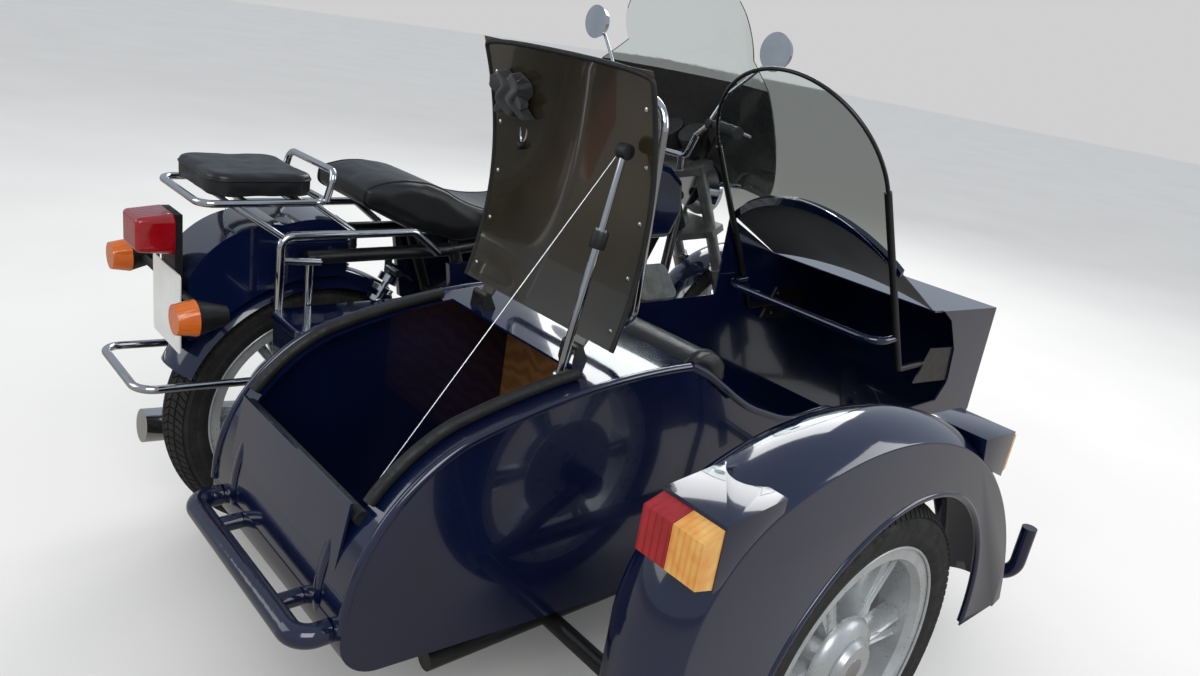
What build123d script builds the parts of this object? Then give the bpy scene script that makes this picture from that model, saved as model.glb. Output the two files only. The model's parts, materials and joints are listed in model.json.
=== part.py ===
from build123d import *
import os
from math import asin, cos, degrees, radians, sin, tan

# Sidecar motorcycle: a heavy V-twin tourer with an open one-seat sidecar on its right.
# Millimetres, +X forward, +Y to the rider's left, +Z up, floor at Z = 0.
# Places are measured from the rear tyre's foot, and at() moves them so that the origin
# lies on the floor below the middle of the whole outfit.

os.makedirs("parts", exist_ok=True)

# Driving dimensions
wheelbase = 1565.0
tail_reach = 430.0
mudguard_reach = 1415.0
bar_reach = 425.0
tyre_radius = 330.0
tyre_width = 118.0
front_tyre_radius = 322.0
front_tyre_width = 100.0
rim_radius = 243.0
rake = 28.0
trail = 95.0
body_left = -385.0
body_right = -930.0
body_wall = 5.0
floor_height = 262.0
sidecar_lead = 406.0
sidecar_track = 1332.0
run_gap = 0.3

# Origin below the middle of the outfit
axle_x = (tail_reach - wheelbase - front_tyre_radius) / 2
bike_y = (mudguard_reach - bar_reach) / 2


def at(x, y, z):
    """A place measured from the rear tyre's foot."""
    return Vector(axle_x + x, bike_y + y, z)


def side(y):
    """Upright plane along the outfit: local x is forward, local y is up, normal to the right."""
    return Plane(origin=at(0, y, 0), x_dir=(1, 0, 0), z_dir=(0, -1, 0))


def across(x):
    """Upright plane across the outfit: local x is left, local y is up, normal forward."""
    return Plane(origin=at(x, 0, 0), x_dir=(0, 1, 0), z_dir=(1, 0, 0))


def level(z):
    """Flat plane: local x is forward, local y is left, normal up."""
    return Plane(origin=at(0, 0, z), x_dir=(1, 0, 0), z_dir=(0, 0, 1))


def bar(points, radius, bend=0.0, loop=False):
    """Sweep a round bar along a route, into the part that is being made."""
    with BuildLine() as route:
        if bend:
            FilletPolyline(*points, radius=bend, close=loop)
        else:
            Polyline(*points)
    with BuildSketch(Plane(origin=route.line @ 0, z_dir=route.line % 0)) as section:
        Circle(radius)
    sweep(section.sketch, path=route.line, transition=Transition.ROUND)


def pin(start, end, radius, mode=Mode.ADD):
    """A straight round bar from start to end, into the part that is being made."""
    axis = end - start
    with BuildSketch(Plane(origin=start, z_dir=axis)) as section:
        Circle(radius)
    extrude(section.sketch, amount=axis.length, mode=mode)


def save(part, name):
    """Label a finished piece and write its file."""
    part.label = name
    export_step(part, f"parts/{name}.step")


# Wheels
bead_inset = 17.0
shoulder_drop = 22.0
flange = 5.0
rim_wall = 8.0
hub_radius = 62.0
axle_radius = 10.0
bead_depth = 14.0
disc_radius = 130.0
disc_thickness = 6.0
spoke_pairs = 6
spoke_width = 20.0
spoke_depth = 30.0
# name: centre x, centre y, tyre radius, tyre width
wheels = {
    "rear": (0.0, 0.0, tyre_radius, tyre_width),
    "front": (wheelbase, 0.0, front_tyre_radius, front_tyre_width),
    "sidecar": (sidecar_lead, -sidecar_track, tyre_radius, tyre_width),
}


def make_tyre(name, centre_x, centre_y, radius, width):
    seat = rim_radius - bead_depth
    half = width / 2
    bead = half - bead_inset
    lip = rim_radius + run_gap
    shoulder = radius - shoulder_drop
    cheek = (lip + shoulder) / 2
    section = Plane(origin=at(centre_x, centre_y, radius), x_dir=(0, 1, 0), z_dir=(1, 0, 0))
    spin_axis = Axis(at(centre_x, centre_y, radius), (0, 1, 0))
    with BuildPart() as tyre:
        with BuildSketch(section):
            with BuildLine():
                Polyline((-bead, lip), (-bead, seat), (bead, seat), (bead, lip), (half - 8, lip + 6))
                ThreePointArc((half - 8, lip + 6), (half, cheek), (half - 6, shoulder))
                ThreePointArc((half - 6, shoulder), (0, radius), (-half + 6, shoulder))
                ThreePointArc((-half + 6, shoulder), (-half, cheek), (-half + 8, lip + 6))
                Line((-half + 8, lip + 6), (-bead, lip))
            make_face()
        revolve(axis=spin_axis)
    save(tyre.part, f"{name}_tyre")


def make_rim(name, centre_x, centre_y, radius, width):
    seat = rim_radius - bead_depth - run_gap
    half = width / 2 - bead_inset + run_gap
    bed = seat - rim_wall
    centre = at(centre_x, centre_y, radius)
    section = Plane(origin=centre, x_dir=(0, 1, 0), z_dir=(1, 0, 0))
    spin_axis = Axis(centre, (0, 1, 0))
    wheel_plane = Plane(origin=centre, x_dir=(1, 0, 0), z_dir=(0, -1, 0))
    with BuildPart() as rim:
        with BuildSketch(section):
            with BuildLine():
                Polyline((-half - flange, bed), (-half - flange, rim_radius), (-half, rim_radius), (-half, seat),
                         (half, seat), (half, rim_radius), (half + flange, rim_radius), (half + flange, bed),
                         (half - 10, bed - 8), (-half + 10, bed - 8), close=True)
            make_face()
        revolve(axis=spin_axis)
        with BuildSketch(wheel_plane):
            with PolarLocations(0, spoke_pairs):
                with Locations((hub_radius + 72, 9)):
                    Rectangle(185, spoke_width * 0.6, rotation=7)
                with Locations((hub_radius + 72, -9)):
                    Rectangle(185, spoke_width * 0.6, rotation=-7)
            Circle(bed - 2, mode=Mode.INTERSECT)
        extrude(amount=spoke_depth / 2, both=True)
        with BuildSketch(wheel_plane):
            Circle(hub_radius)
        extrude(amount=half + 2, both=True)
        with BuildSketch(wheel_plane.offset(half + 2)):
            Circle(hub_radius - 6)
        extrude(amount=10, taper=30)
        with BuildSketch(wheel_plane.offset(-half - 2)):
            Circle(disc_radius)
            Circle(hub_radius - 2, mode=Mode.SUBTRACT)
        extrude(amount=-disc_thickness)
        with BuildSketch(wheel_plane.offset(-half - 2)):
            Circle(hub_radius)
        extrude(amount=-disc_thickness)
        with BuildSketch(wheel_plane.offset(-half - 20)):
            Circle(axle_radius + run_gap)
        extrude(amount=2 * half + 60, mode=Mode.SUBTRACT)
    save(rim.part, f"{name}_rim")


for wheel_name, (wheel_x, wheel_y, wheel_radius, wheel_width) in wheels.items():
    make_tyre(wheel_name, wheel_x, wheel_y, wheel_radius, wheel_width)
    make_rim(wheel_name, wheel_x, wheel_y, wheel_radius, wheel_width)

# Steering axis
head_foot_x = wheelbase + trail


def steer(z, forward=0.0, y=0.0):
    """A place on the steering axis at height z, moved forward square to it."""
    x = head_foot_x - z * tan(radians(rake))
    return at(x + forward * cos(radians(rake)), y, z + forward * sin(radians(rake)))


axle_offset = (wheelbase - (head_foot_x - front_tyre_radius * tan(radians(rake)))) * cos(radians(rake))
head_low = 745.0
head_high = 915.0
head_radius = 32.0
stem_radius = 18.0
head_bore = stem_radius + run_gap

# Motorcycle frame
tube_radius = 16.0
cradle_half = 112.0
rail_height = 744.0
shock_y = 115.0
shock_foot = (10.0, 424.0)
shock_head = (160.0, 700.0)
tunnel_half = 82.0
seat_foot = 768.0
with BuildPart() as bike_frame:
    pin(steer(head_low), steer(head_high), head_radius)
    for hand in (1, -1):
        bar([at(1232, hand * 20, 855), at(1080, hand * 50, 850), at(700, hand * 60, 765),
             at(300, hand * cradle_half, rail_height), at(-60, hand * cradle_half, rail_height)], tube_radius, 60)
        bar([at(1238, hand * 20, 800), at(1160, hand * 70, 520), at(1120, hand * cradle_half, 235),
             at(560, hand * cradle_half, 215), at(420, hand * cradle_half, 300),
             at(400, hand * cradle_half, 560), at(330, hand * cradle_half, rail_height)], tube_radius, 60)
        pin(at(160, hand * (cradle_half - 20), shock_head[1]), at(160, hand * (shock_y + 30), shock_head[1]), 9)
        pin(at(160, hand * (cradle_half - 20), rail_height), at(160, hand * (cradle_half - 20), shock_head[1] - 9), 9)
    bar([at(560, cradle_half, 215), at(560, -cradle_half, 215)], tube_radius)
    bar([at(1130, cradle_half, 235), at(1130, -cradle_half, 235)], tube_radius)
    bar([at(20, cradle_half, rail_height), at(20, -cradle_half, rail_height)], 10)
    pin(at(760, tunnel_half - run_gap, 778), at(760, run_gap - tunnel_half, 778), 9)
    for hand in (1, -1):
        pin(at(330, hand * 106, rail_height), at(330, hand * 106, seat_foot - run_gap), 12)
    bar([at(400, cradle_half, 560), at(400, -cradle_half, 560)], tube_radius)
    pin(steer(head_low - 20), steer(head_high + 20), head_bore, mode=Mode.SUBTRACT)
save(bike_frame.part, "bike_frame")


# Swingarm: a round arm on the left, the shaft tube with its final drive case on the right
arm_pivot = (368.0, 315.0)
arm_radius = 19.0
shaft_radius = 29.0
arm_gap = 9.0
drive_radius = 82.0
arm_y = tyre_width / 2 + arm_gap + arm_radius
shaft_y = tyre_width / 2 + arm_gap + shaft_radius
drive_face = tyre_width / 2 + arm_gap
with BuildPart() as swingarm_drive:
    pin(at(arm_pivot[0], arm_y, arm_pivot[1]), at(0, arm_y, tyre_radius), arm_radius)
    pin(at(arm_pivot[0], -shaft_y, arm_pivot[1]), at(0, -shaft_y, tyre_radius), shaft_radius)
    pin(at(arm_pivot[0], cradle_half - tube_radius, arm_pivot[1]),
        at(arm_pivot[0], tube_radius - cradle_half, arm_pivot[1]), 24)
    pin(at(0, arm_y + 12, tyre_radius), at(0, arm_y - 12, tyre_radius), 30)
    for hand in (1, -1):
        pin(at(shock_foot[0], hand * (shock_y - 18), shock_foot[1]), at(shock_foot[0], hand * (shock_y + 14), shock_foot[1]), 9)
        pin(at(shock_foot[0], hand * (shock_y - 22), shock_foot[1]), at(shock_foot[0], hand * (shock_y - 22), tyre_radius), 9)
    pin(at(0, -drive_face, tyre_radius), at(0, -drive_face - 40, tyre_radius), drive_radius)
    with BuildSketch(side(-drive_face - 40)):
        with Locations((0, tyre_radius)):
            Circle(drive_radius)
    extrude(amount=16, taper=45)
    pin(at(0, arm_y + 30, tyre_radius), at(0, -drive_face - 70, tyre_radius), axle_radius)
save(swingarm_drive.part, "swingarm_drive")

# Rear shock absorbers
with BuildPart() as shock_absorbers:
    for hand in (1, -1):
        foot = at(shock_foot[0], hand * shock_y, shock_foot[1])
        head = at(shock_head[0], hand * shock_y, shock_head[1])
        reach = head - foot
        pin(foot + reach * 0.04, head - reach * 0.04, 9)
        pin(foot + reach * 0.07, foot + reach * 0.45, 19)
        for turn in range(9):
            place = foot + reach * (0.14 + 0.085 * turn)
            pin(place, place + reach * 0.04, 26)
        pin(foot + reach * 0.08, foot + reach * 0.12, 26)
        pin(foot + reach * 0.9, foot + reach * 0.96, 24)
        for eye in (foot, head):
            pin(eye + Vector(0, -12, 0), eye + Vector(0, 12, 0), 17)
            pin(eye + Vector(0, -14, 0), eye + Vector(0, 14, 0), 9 + run_gap, mode=Mode.SUBTRACT)
    add(swingarm_drive.part, mode=Mode.SUBTRACT)
save(shock_absorbers.part, "shock_absorbers")

# Engine feet, cut to the frame's tubes
with BuildPart() as engine_feet:
    for mount_x, mount_z in ((1030, 300), (560, 290)):
        for hand in (1, -1):
            pin(at(mount_x, hand * 70, mount_z), at(mount_x, hand * (cradle_half - 2), mount_z), 14)
            pin(at(mount_x, hand * (cradle_half - 12), mount_z), at(mount_x, hand * (cradle_half - 12), 226), 8)
    add(bike_frame.part, mode=Mode.SUBTRACT)

# Engine block and gearbox in outline
crank = (915.0, 400.0)
with BuildPart() as engine_case:
    with BuildSketch(side(0)):
        with BuildLine():
            Polyline((1085, 265), (1085, 430), (1010, 520), (840, 530), (640, 500), (470, 430), (440, 300),
                     (600, 245), close=True)
        make_face()
    extrude(amount=92, both=True)
    with BuildSketch(across(1085)):
        with Locations((0, 375)):
            Circle(80)
    extrude(amount=36, taper=8)
with BuildPart() as engine_block:
    add(engine_case.part)
    add(engine_feet.part)
save(engine_block.part, "engine_block")

# Finned cylinders, one each side, leaning out from the crank
cylinder_lean = 45.0
fin_count = 8
fin_pitch = 13.0
with BuildPart() as cylinders:
    for hand in (1, -1):
        lean = Vector(0, hand * sin(radians(cylinder_lean)), cos(radians(cylinder_lean)))
        root = at(crank[0], 0, crank[1]) + lean * 150
        barrel = Plane(origin=root, x_dir=(1, 0, 0), z_dir=lean)
        with BuildSketch(barrel):
            Circle(52)
        extrude(amount=115)
        for fin in range(fin_count):
            with BuildSketch(barrel.offset(8 + fin_pitch * fin)):
                RectangleRounded(158, 150, 30)
            extrude(amount=4)
        with BuildSketch(barrel.offset(115)):
            RectangleRounded(168, 150, 26)
        extrude(amount=48)
        with BuildSketch(barrel.offset(163)):
            RectangleRounded(176, 132, 34)
        extrude(amount=62, taper=10)
        for rib in (-44, -22, 0, 22, 44):
            with BuildSketch(barrel.offset(200)):
                with Locations((rib, 0)):
                    Rectangle(5, 96)
            extrude(amount=30)
    add(engine_case.part, mode=Mode.SUBTRACT)
save(cylinders.part, "cylinders")

# Exhaust pipes and silencers, the right one short to clear the sidecar
pipe_y = 165.0
with BuildPart() as exhaust:
    for hand, tail_x in ((1, -330.0), (-1, 120.0)):
        bar([at(985, hand * 214, 566), at(1075, hand * 214, 540), at(1060, hand * pipe_y, 300),
             at(980, hand * pipe_y, 176), at(440, hand * pipe_y, 176)], 20, 45)
        bar([at(440, hand * pipe_y, 176), at(380, hand * pipe_y, 182), at(tail_x, hand * pipe_y, 250)], 41)
    add(cylinders.part, mode=Mode.SUBTRACT)
save(exhaust.part, "exhaust")

# Fuel tank over a tunnel for the frame rails
tank_half = 138.0
with BuildPart() as fuel_tank:
    with BuildSketch(side(0)) as tank_side:
        with BuildLine():
            Polyline((640, 800), (655, 860))
            ThreePointArc((655, 860), (870, 982), (1060, 968))
            Polyline((1060, 968), (1118, 925), (1138, 830), (1100, 748), (700, 748), (640, 800))
        make_face()
        fillet(tank_side.vertices(), 30)
    extrude(amount=tank_half, both=True)
    fillet(fuel_tank.part.faces().filter_by(Axis.Y).edges(), 27)
    with BuildSketch(across(600)):
        with BuildLine():
            Polyline((-tunnel_half, 700), (-tunnel_half, 840), (-40, 892), (40, 892), (tunnel_half, 840),
                     (tunnel_half, 700), close=True)
        make_face()
    extrude(amount=620, mode=Mode.SUBTRACT)
save(fuel_tank.part, "fuel_tank")

# Side covers
cover_y = cradle_half + tube_radius + run_gap
with BuildPart() as side_covers:
    for hand in (1, -1):
        with BuildSketch(side(hand * cover_y)):
            with BuildLine():
                Polyline((300, 716), (640, 722), (600, 560), (470, 470), (330, 540), close=True)
            make_face()
        extrude(amount=-16 * hand)
save(side_covers.part, "side_covers")

# Dual seat with a stepped pillion part
seat_half = 138.0
with BuildPart() as dual_seat:
    with BuildSketch(side(0)) as seat_side:
        with BuildLine():
            Polyline((62, 868), (66, 905))
            ThreePointArc((66, 905), (150, 922), (300, 893))
            ThreePointArc((300, 893), (440, 842), (600, 842))
            Polyline((600, 842), (634, 838), (630, 788), (330, seat_foot), (200, 800), (62, 868))
        make_face()
        fillet(seat_side.vertices().group_by(Axis.X)[0], 14)
    extrude(amount=seat_half, both=True)
    fillet(dual_seat.part.faces().filter_by(Axis.Y).edges(), 12)
save(dual_seat.part, "dual_seat")

# Rear mudguard with its tail hump
guard_radius = 356.0
guard_half = 80.0
guard_sheet = 3.0
with BuildPart() as rear_mudguard:
    with BuildSketch(side(0)):
        with BuildLine():
            Line((-302, 560), (-302, 700))
            ThreePointArc((-302, 700), (-240, 775), (-100, 812))
            ThreePointArc((-100, 812), (0, 822), (56, 812))
            Polyline((56, 812), (56, 640), (-302, 560))
        make_face()
    extrude(amount=guard_half, both=True)
    with BuildSketch(side(0)):
        with Locations((0, tyre_radius)):
            Circle(guard_radius)
    extrude(amount=guard_half + 5, both=True, mode=Mode.SUBTRACT)
    with BuildSketch(Plane(origin=at(0, 0, tyre_radius), x_dir=(0, 1, 0), z_dir=(0.42, 0, 0.907))):
        with BuildLine():
            ThreePointArc((-guard_half, guard_radius - 30), (0, guard_radius + 6), (guard_half, guard_radius - 30))
            Line((guard_half, guard_radius - 30), (guard_half - guard_sheet, guard_radius - 30))
            ThreePointArc((guard_half - guard_sheet, guard_radius - 30), (0, guard_radius + 6 - guard_sheet),
                          (guard_sheet - guard_half, guard_radius - 30))
            Line((guard_sheet - guard_half, guard_radius - 30), (-guard_half, guard_radius - 30))
        make_face()
    revolve(axis=Axis(at(0, 0, tyre_radius), (0, 1, 0)), revolution_arc=100)
    add(bike_frame.part, mode=Mode.SUBTRACT)
save(rear_mudguard.part, "rear_mudguard")

# Chrome carrier behind the seat, pannier rails and low rear bar
loop_z = 874.0
rail_y = 150.0
rail_z = 806.0
bar_z = 482.0
bar_half = 132.0
box_top = 641.0
with BuildPart() as carrier:
    bar([at(-296, -128, loop_z), at(-296, 128, loop_z), at(-22, 128, loop_z), at(-22, -128, loop_z)], 8, 34,
        loop=True)
    bar([at(-200, -126, loop_z), at(-200, 126, loop_z)], 7)
    bar([at(-90, -126, loop_z), at(-90, 126, loop_z)], 7)
    for hand in (1, -1):
        pin(at(-232, hand * 124, loop_z - 2), at(-128, hand * rail_y, rail_z - 4), 7)
        pin(at(-52, hand * 124, loop_z - 2), at(48, hand * rail_y, rail_z - 4), 7)
        bar([at(-135, hand * rail_y, 700), at(-135, hand * rail_y, rail_z), at(190, hand * rail_y, rail_z),
             at(260, hand * rail_y, 750)], 10, 26)
        bar([at(-135, hand * rail_y, 752), at(-44, hand * rail_y, rail_height),
             at(-40, hand * (cradle_half + tube_radius - 4), rail_height)], 8)
    bar([at(-22, 118, loop_z), at(-4, 118, 940), at(-4, -118, 940), at(-22, -118, loop_z)], 8, 22)
    bar([at(-60, bar_half, rail_height), at(-60, bar_half, bar_z - 20), at(-420, bar_half, bar_z),
         at(-420, -bar_half, bar_z), at(-60, -bar_half, bar_z - 20), at(-60, -bar_half, rail_height)], 9, 40)
    pin(at(-135, -rail_y, box_top + run_gap), at(-135, -rail_y, 720), 10)
    add(bike_frame.part, mode=Mode.SUBTRACT)
save(carrier.part, "carrier")

# Pillion pad on the carrier
with BuildPart() as pillion_pad:
    with BuildSketch(level(loop_z + 8 + run_gap)):
        with Locations((-158, 0)):
            RectangleRounded(236, 250, 46)
    extrude(amount=50)
    fillet(pillion_pad.part.faces().sort_by(Axis.Z)[-1].edges(), 12)
save(pillion_pad.part, "pillion_pad")

# Tail bracket with the arms of the indicators
lamp_z = 788.0
indicator_z = 667.0
indicator_y = 221.0
with BuildPart() as tail_bracket:
    with BuildSketch(side(0)):
        with BuildLine():
            Polyline((-302, 830), (-318, 830), (-318, 540), (-308, 540), (-302, 700), close=True)
        make_face()
    extrude(amount=44, both=True)
    pin(at(-311, -indicator_y, indicator_z), at(-311, indicator_y, indicator_z), 8)
    for hand in (1, -1):
        with BuildSketch(across(-336)):
            with Locations((hand * indicator_y, indicator_z)):
                Circle(37)
        extrude(amount=62, taper=16)
save(tail_bracket.part, "tail_bracket")

with BuildPart() as tail_lamp:
    with BuildSketch(across(-318 - run_gap)):
        with Locations((0, lamp_z)):
            RectangleRounded(112, 88, 18)
    extrude(amount=-76, taper=6)
    fillet(tail_lamp.part.faces().sort_by(Axis.X)[0].edges(), 10)
save(tail_lamp.part, "tail_lamp")

with BuildPart() as rear_indicators:
    for hand in (1, -1):
        with BuildSketch(across(-336 - run_gap)):
            with Locations((hand * indicator_y, indicator_z)):
                Circle(38)
        extrude(amount=-40, taper=10)
save(rear_indicators.part, "rear_indicators")

with BuildPart() as number_plate:
    with BuildSketch(across(-319 - run_gap)):
        with Locations((0, 622)):
            RectangleRounded(177, 177, 8)
    extrude(amount=-3)
save(number_plate.part, "number_plate")

# Tool box between the rear wheel and the sidecar
with BuildPart() as side_box:
    with BuildSketch(level(box_top - 144)):
        with Locations((25, -219)):
            RectangleRounded(350, 146, 16)
    extrude(amount=126)
    with BuildSketch(level(box_top - 18)):
        with Locations((25, -219)):
            RectangleRounded(358, 154, 18)
    extrude(amount=18)
    fillet(side_box.part.faces().sort_by(Axis.Z)[-1].edges(), 5)
save(side_box.part, "side_box")

# Fork, yokes, axle and stem
leg_y = 88.0
leg_radius = 19.0
slider_radius = 26.0
yoke_low = head_low - 30
yoke_high = head_high + 5
yoke_depth = 24.0
yoke_plane = Plane(origin=steer(yoke_low), x_dir=(cos(radians(rake)), 0, sin(radians(rake))),
                   z_dir=(-sin(radians(rake)), 0, cos(radians(rake))))
axis_step = 1 / cos(radians(rake))
up_stem = Vector(-sin(radians(rake)), 0, cos(radians(rake)))
with BuildPart() as fork:
    for hand in (1, -1):
        leg_foot = at(wheelbase, hand * leg_y, front_tyre_radius)
        leg_top = steer(yoke_high + 22, axle_offset, hand * leg_y)
        pin(leg_foot, leg_top, leg_radius)
        pin(leg_foot, leg_foot + (leg_top - leg_foot) * 0.46, slider_radius)
        pin(at(wheelbase, hand * (leg_y - 30), front_tyre_radius), at(wheelbase, hand * (leg_y + 28), front_tyre_radius), 24)
    for step in (0, (yoke_high - yoke_low) * axis_step):
        with BuildSketch(yoke_plane.offset(step)):
            with BuildLine():
                Polyline((-26, 26), (-26, -26), (axle_offset - 20, -leg_y - 30), (axle_offset + 30, -leg_y - 30),
                         (axle_offset + 30, leg_y + 30), (axle_offset - 20, leg_y + 30), close=True)
            make_face()
        extrude(amount=yoke_depth)
    pin(steer(yoke_low + 6), steer(yoke_high + 6), stem_radius)
    pin(at(wheelbase, -leg_y, front_tyre_radius), at(wheelbase, leg_y, front_tyre_radius), axle_radius)
save(fork.part, "fork")

with BuildPart() as front_mudguard:
    front_section = Plane(origin=at(wheelbase, 0, front_tyre_radius), x_dir=(0, 1, 0), z_dir=(0.5, 0, 0.866))
    with BuildSketch(front_section):
        with BuildLine():
            ThreePointArc((-58, 330), (0, 352), (58, 330))
            Line((58, 330), (55, 330))
            ThreePointArc((55, 330), (0, 349), (-55, 330))
            Line((-55, 330), (-58, 330))
        make_face()
    revolve(axis=Axis(at(wheelbase, 0, front_tyre_radius), (0, 1, 0)), revolution_arc=115)
    for hand in (1, -1):
        stay_x = wheelbase - 331 * sin(radians(rake))
        stay_z = front_tyre_radius + 331 * cos(radians(rake))
        pin(at(stay_x, hand * 54, stay_z), at(stay_x, hand * 72, stay_z), 10)
    add(fork.part, mode=Mode.SUBTRACT)
save(front_mudguard.part, "front_mudguard")

with BuildPart() as instruments:
    for hand in (1, -1):
        dial_post = steer(yoke_high, 84, hand * 48) + up_stem * yoke_depth
        pin(dial_post, dial_post + up_stem * 34, 8)
        dial_foot = steer(yoke_high + 40, 108, hand * 48)
        pin(dial_foot, dial_foot + Vector(-sin(radians(40)), 0, cos(radians(40))) * 66, 44)
save(instruments.part, "instruments")

# Handlebar, grips, mirrors
grip_z = 1113.0
grip_x = 1028.0
grip_start = 245.0
grip_end = 375.0
bar_radius = 11.0
bar_foot = steer(yoke_high + 40, 0, 0)
with BuildPart() as handlebar:
    for hand in (1, -1):
        pin(steer(yoke_high, 20, hand * 52) + up_stem * yoke_depth, at(1172, hand * 52, 990), 13)
    bar([at(grip_x, -grip_end + 6, grip_z), at(grip_x + 60, -215, grip_z + 2), at(1150, -120, 1070),
         at(1172, -70, 990), at(1172, 70, 990), at(1150, 120, 1070), at(grip_x + 60, 215, grip_z + 2),
         at(grip_x, grip_end - 6, grip_z)], bar_radius, 30)
    add(fork.part, mode=Mode.SUBTRACT)
save(handlebar.part, "handlebar")

with BuildPart() as grips:
    for hand in (1, -1):
        pin(at(grip_x + 60 - 60 * 0.28, hand * (215 + (grip_end - 6 - 215) * 0.28), grip_z + 1.4),
            at(grip_x, hand * grip_end, grip_z), 17)
    add(handlebar.part, mode=Mode.SUBTRACT)
save(grips.part, "grips")

mirror_x = 1113.0
mirror_y = 373.0
mirror_z = 1334.0
with BuildPart() as mirrors:
    for hand in (1, -1):
        bar([at(grip_x + 60, hand * 215, grip_z + 2 + bar_radius + run_gap), at(1108, hand * 240, 1200), at(mirror_x + 16, hand * 330, 1290),
             at(mirror_x + 16, hand * mirror_y, mirror_z)], 5, 30)
        with BuildSketch(across(mirror_x)):
            with Locations((hand * mirror_y, mirror_z)):
                Circle(52)
        extrude(amount=22, taper=22)
    add(handlebar.part, mode=Mode.SUBTRACT)
save(mirrors.part, "mirrors")

# Windshield: a sheet curved round the rider, clear above and dark below
shield_tilt = 24.0
shield_low = 905.0
shield_split = 1228.0
shield_top = 1480.0
shield_nose = 1405.0
shield_round = 620.0
shield_thickness = 4.0
shield_lean = Vector(-sin(radians(shield_tilt)), 0, cos(radians(shield_tilt)))


def shield_sheet():
    """The whole curved sheet, wider than the windshield, as a solid of its own."""
    with BuildPart(mode=Mode.PRIVATE) as sheet:
        with BuildSketch(level(shield_low - 60)):
            with Locations((shield_nose - shield_round + 26, 0)):
                Circle(shield_round)
                Circle(shield_round - shield_thickness, mode=Mode.SUBTRACT)
            with Locations((shield_nose + 26, 0)):
                Rectangle(400, 900, mode=Mode.INTERSECT)
        extrude(amount=820, dir=shield_lean)
    return sheet.part


curved_sheet = shield_sheet()
with BuildPart() as windshield_pane:
    with BuildSketch(across(900)):
        with BuildLine():
            Line((-352, shield_split), (-262, 1300))
            ThreePointArc((-262, 1300), (-235, 1420), (-150, shield_top))
            Line((-150, shield_top), (150, shield_top))
            ThreePointArc((150, shield_top), (235, 1420), (262, 1300))
            Polyline((262, 1300), (352, shield_split), (-352, shield_split))
        make_face()
    extrude(amount=600)
    add(curved_sheet, mode=Mode.INTERSECT)
save(windshield_pane.part, "windshield_pane")

with BuildPart() as windshield_band:
    with BuildSketch(across(900)):
        with BuildLine():
            Line((-352, shield_split - run_gap), (352, shield_split - run_gap))
            ThreePointArc((352, shield_split - run_gap), (385, 1060), (290, shield_low))
            Line((290, shield_low), (-290, shield_low))
            ThreePointArc((-290, shield_low), (-385, 1060), (-352, shield_split - run_gap))
        make_face()
    extrude(amount=600)
    add(curved_sheet, mode=Mode.INTERSECT)
save(windshield_band.part, "windshield_band")

# Headlamp on arms from the windshield and the lower yoke
headlamp_z = 874.0
with BuildPart() as headlamp:
    with BuildSketch(across(1284)):
        with Locations((0, headlamp_z)):
            Circle(56)
    extrude(amount=60, taper=-26)
    with BuildSketch(across(1344)):
        with Locations((0, headlamp_z)):
            Circle(87)
    extrude(amount=22)
    fillet(headlamp.part.faces().sort_by(Axis.X)[-1].edges(), 9)
    for hand in (1, -1):
        pin(at(1354, hand * 78, headlamp_z + 30), at(1373, hand * 150, headlamp_z + 40), 8)
        pin(steer(yoke_low, axle_offset + 24, hand * 50) + up_stem * (yoke_depth + run_gap),
            at(1352, hand * 50, headlamp_z - 60), 8)
    add(fork.part, mode=Mode.SUBTRACT)
    add(curved_sheet, mode=Mode.SUBTRACT)
save(headlamp.part, "headlamp")

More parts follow.
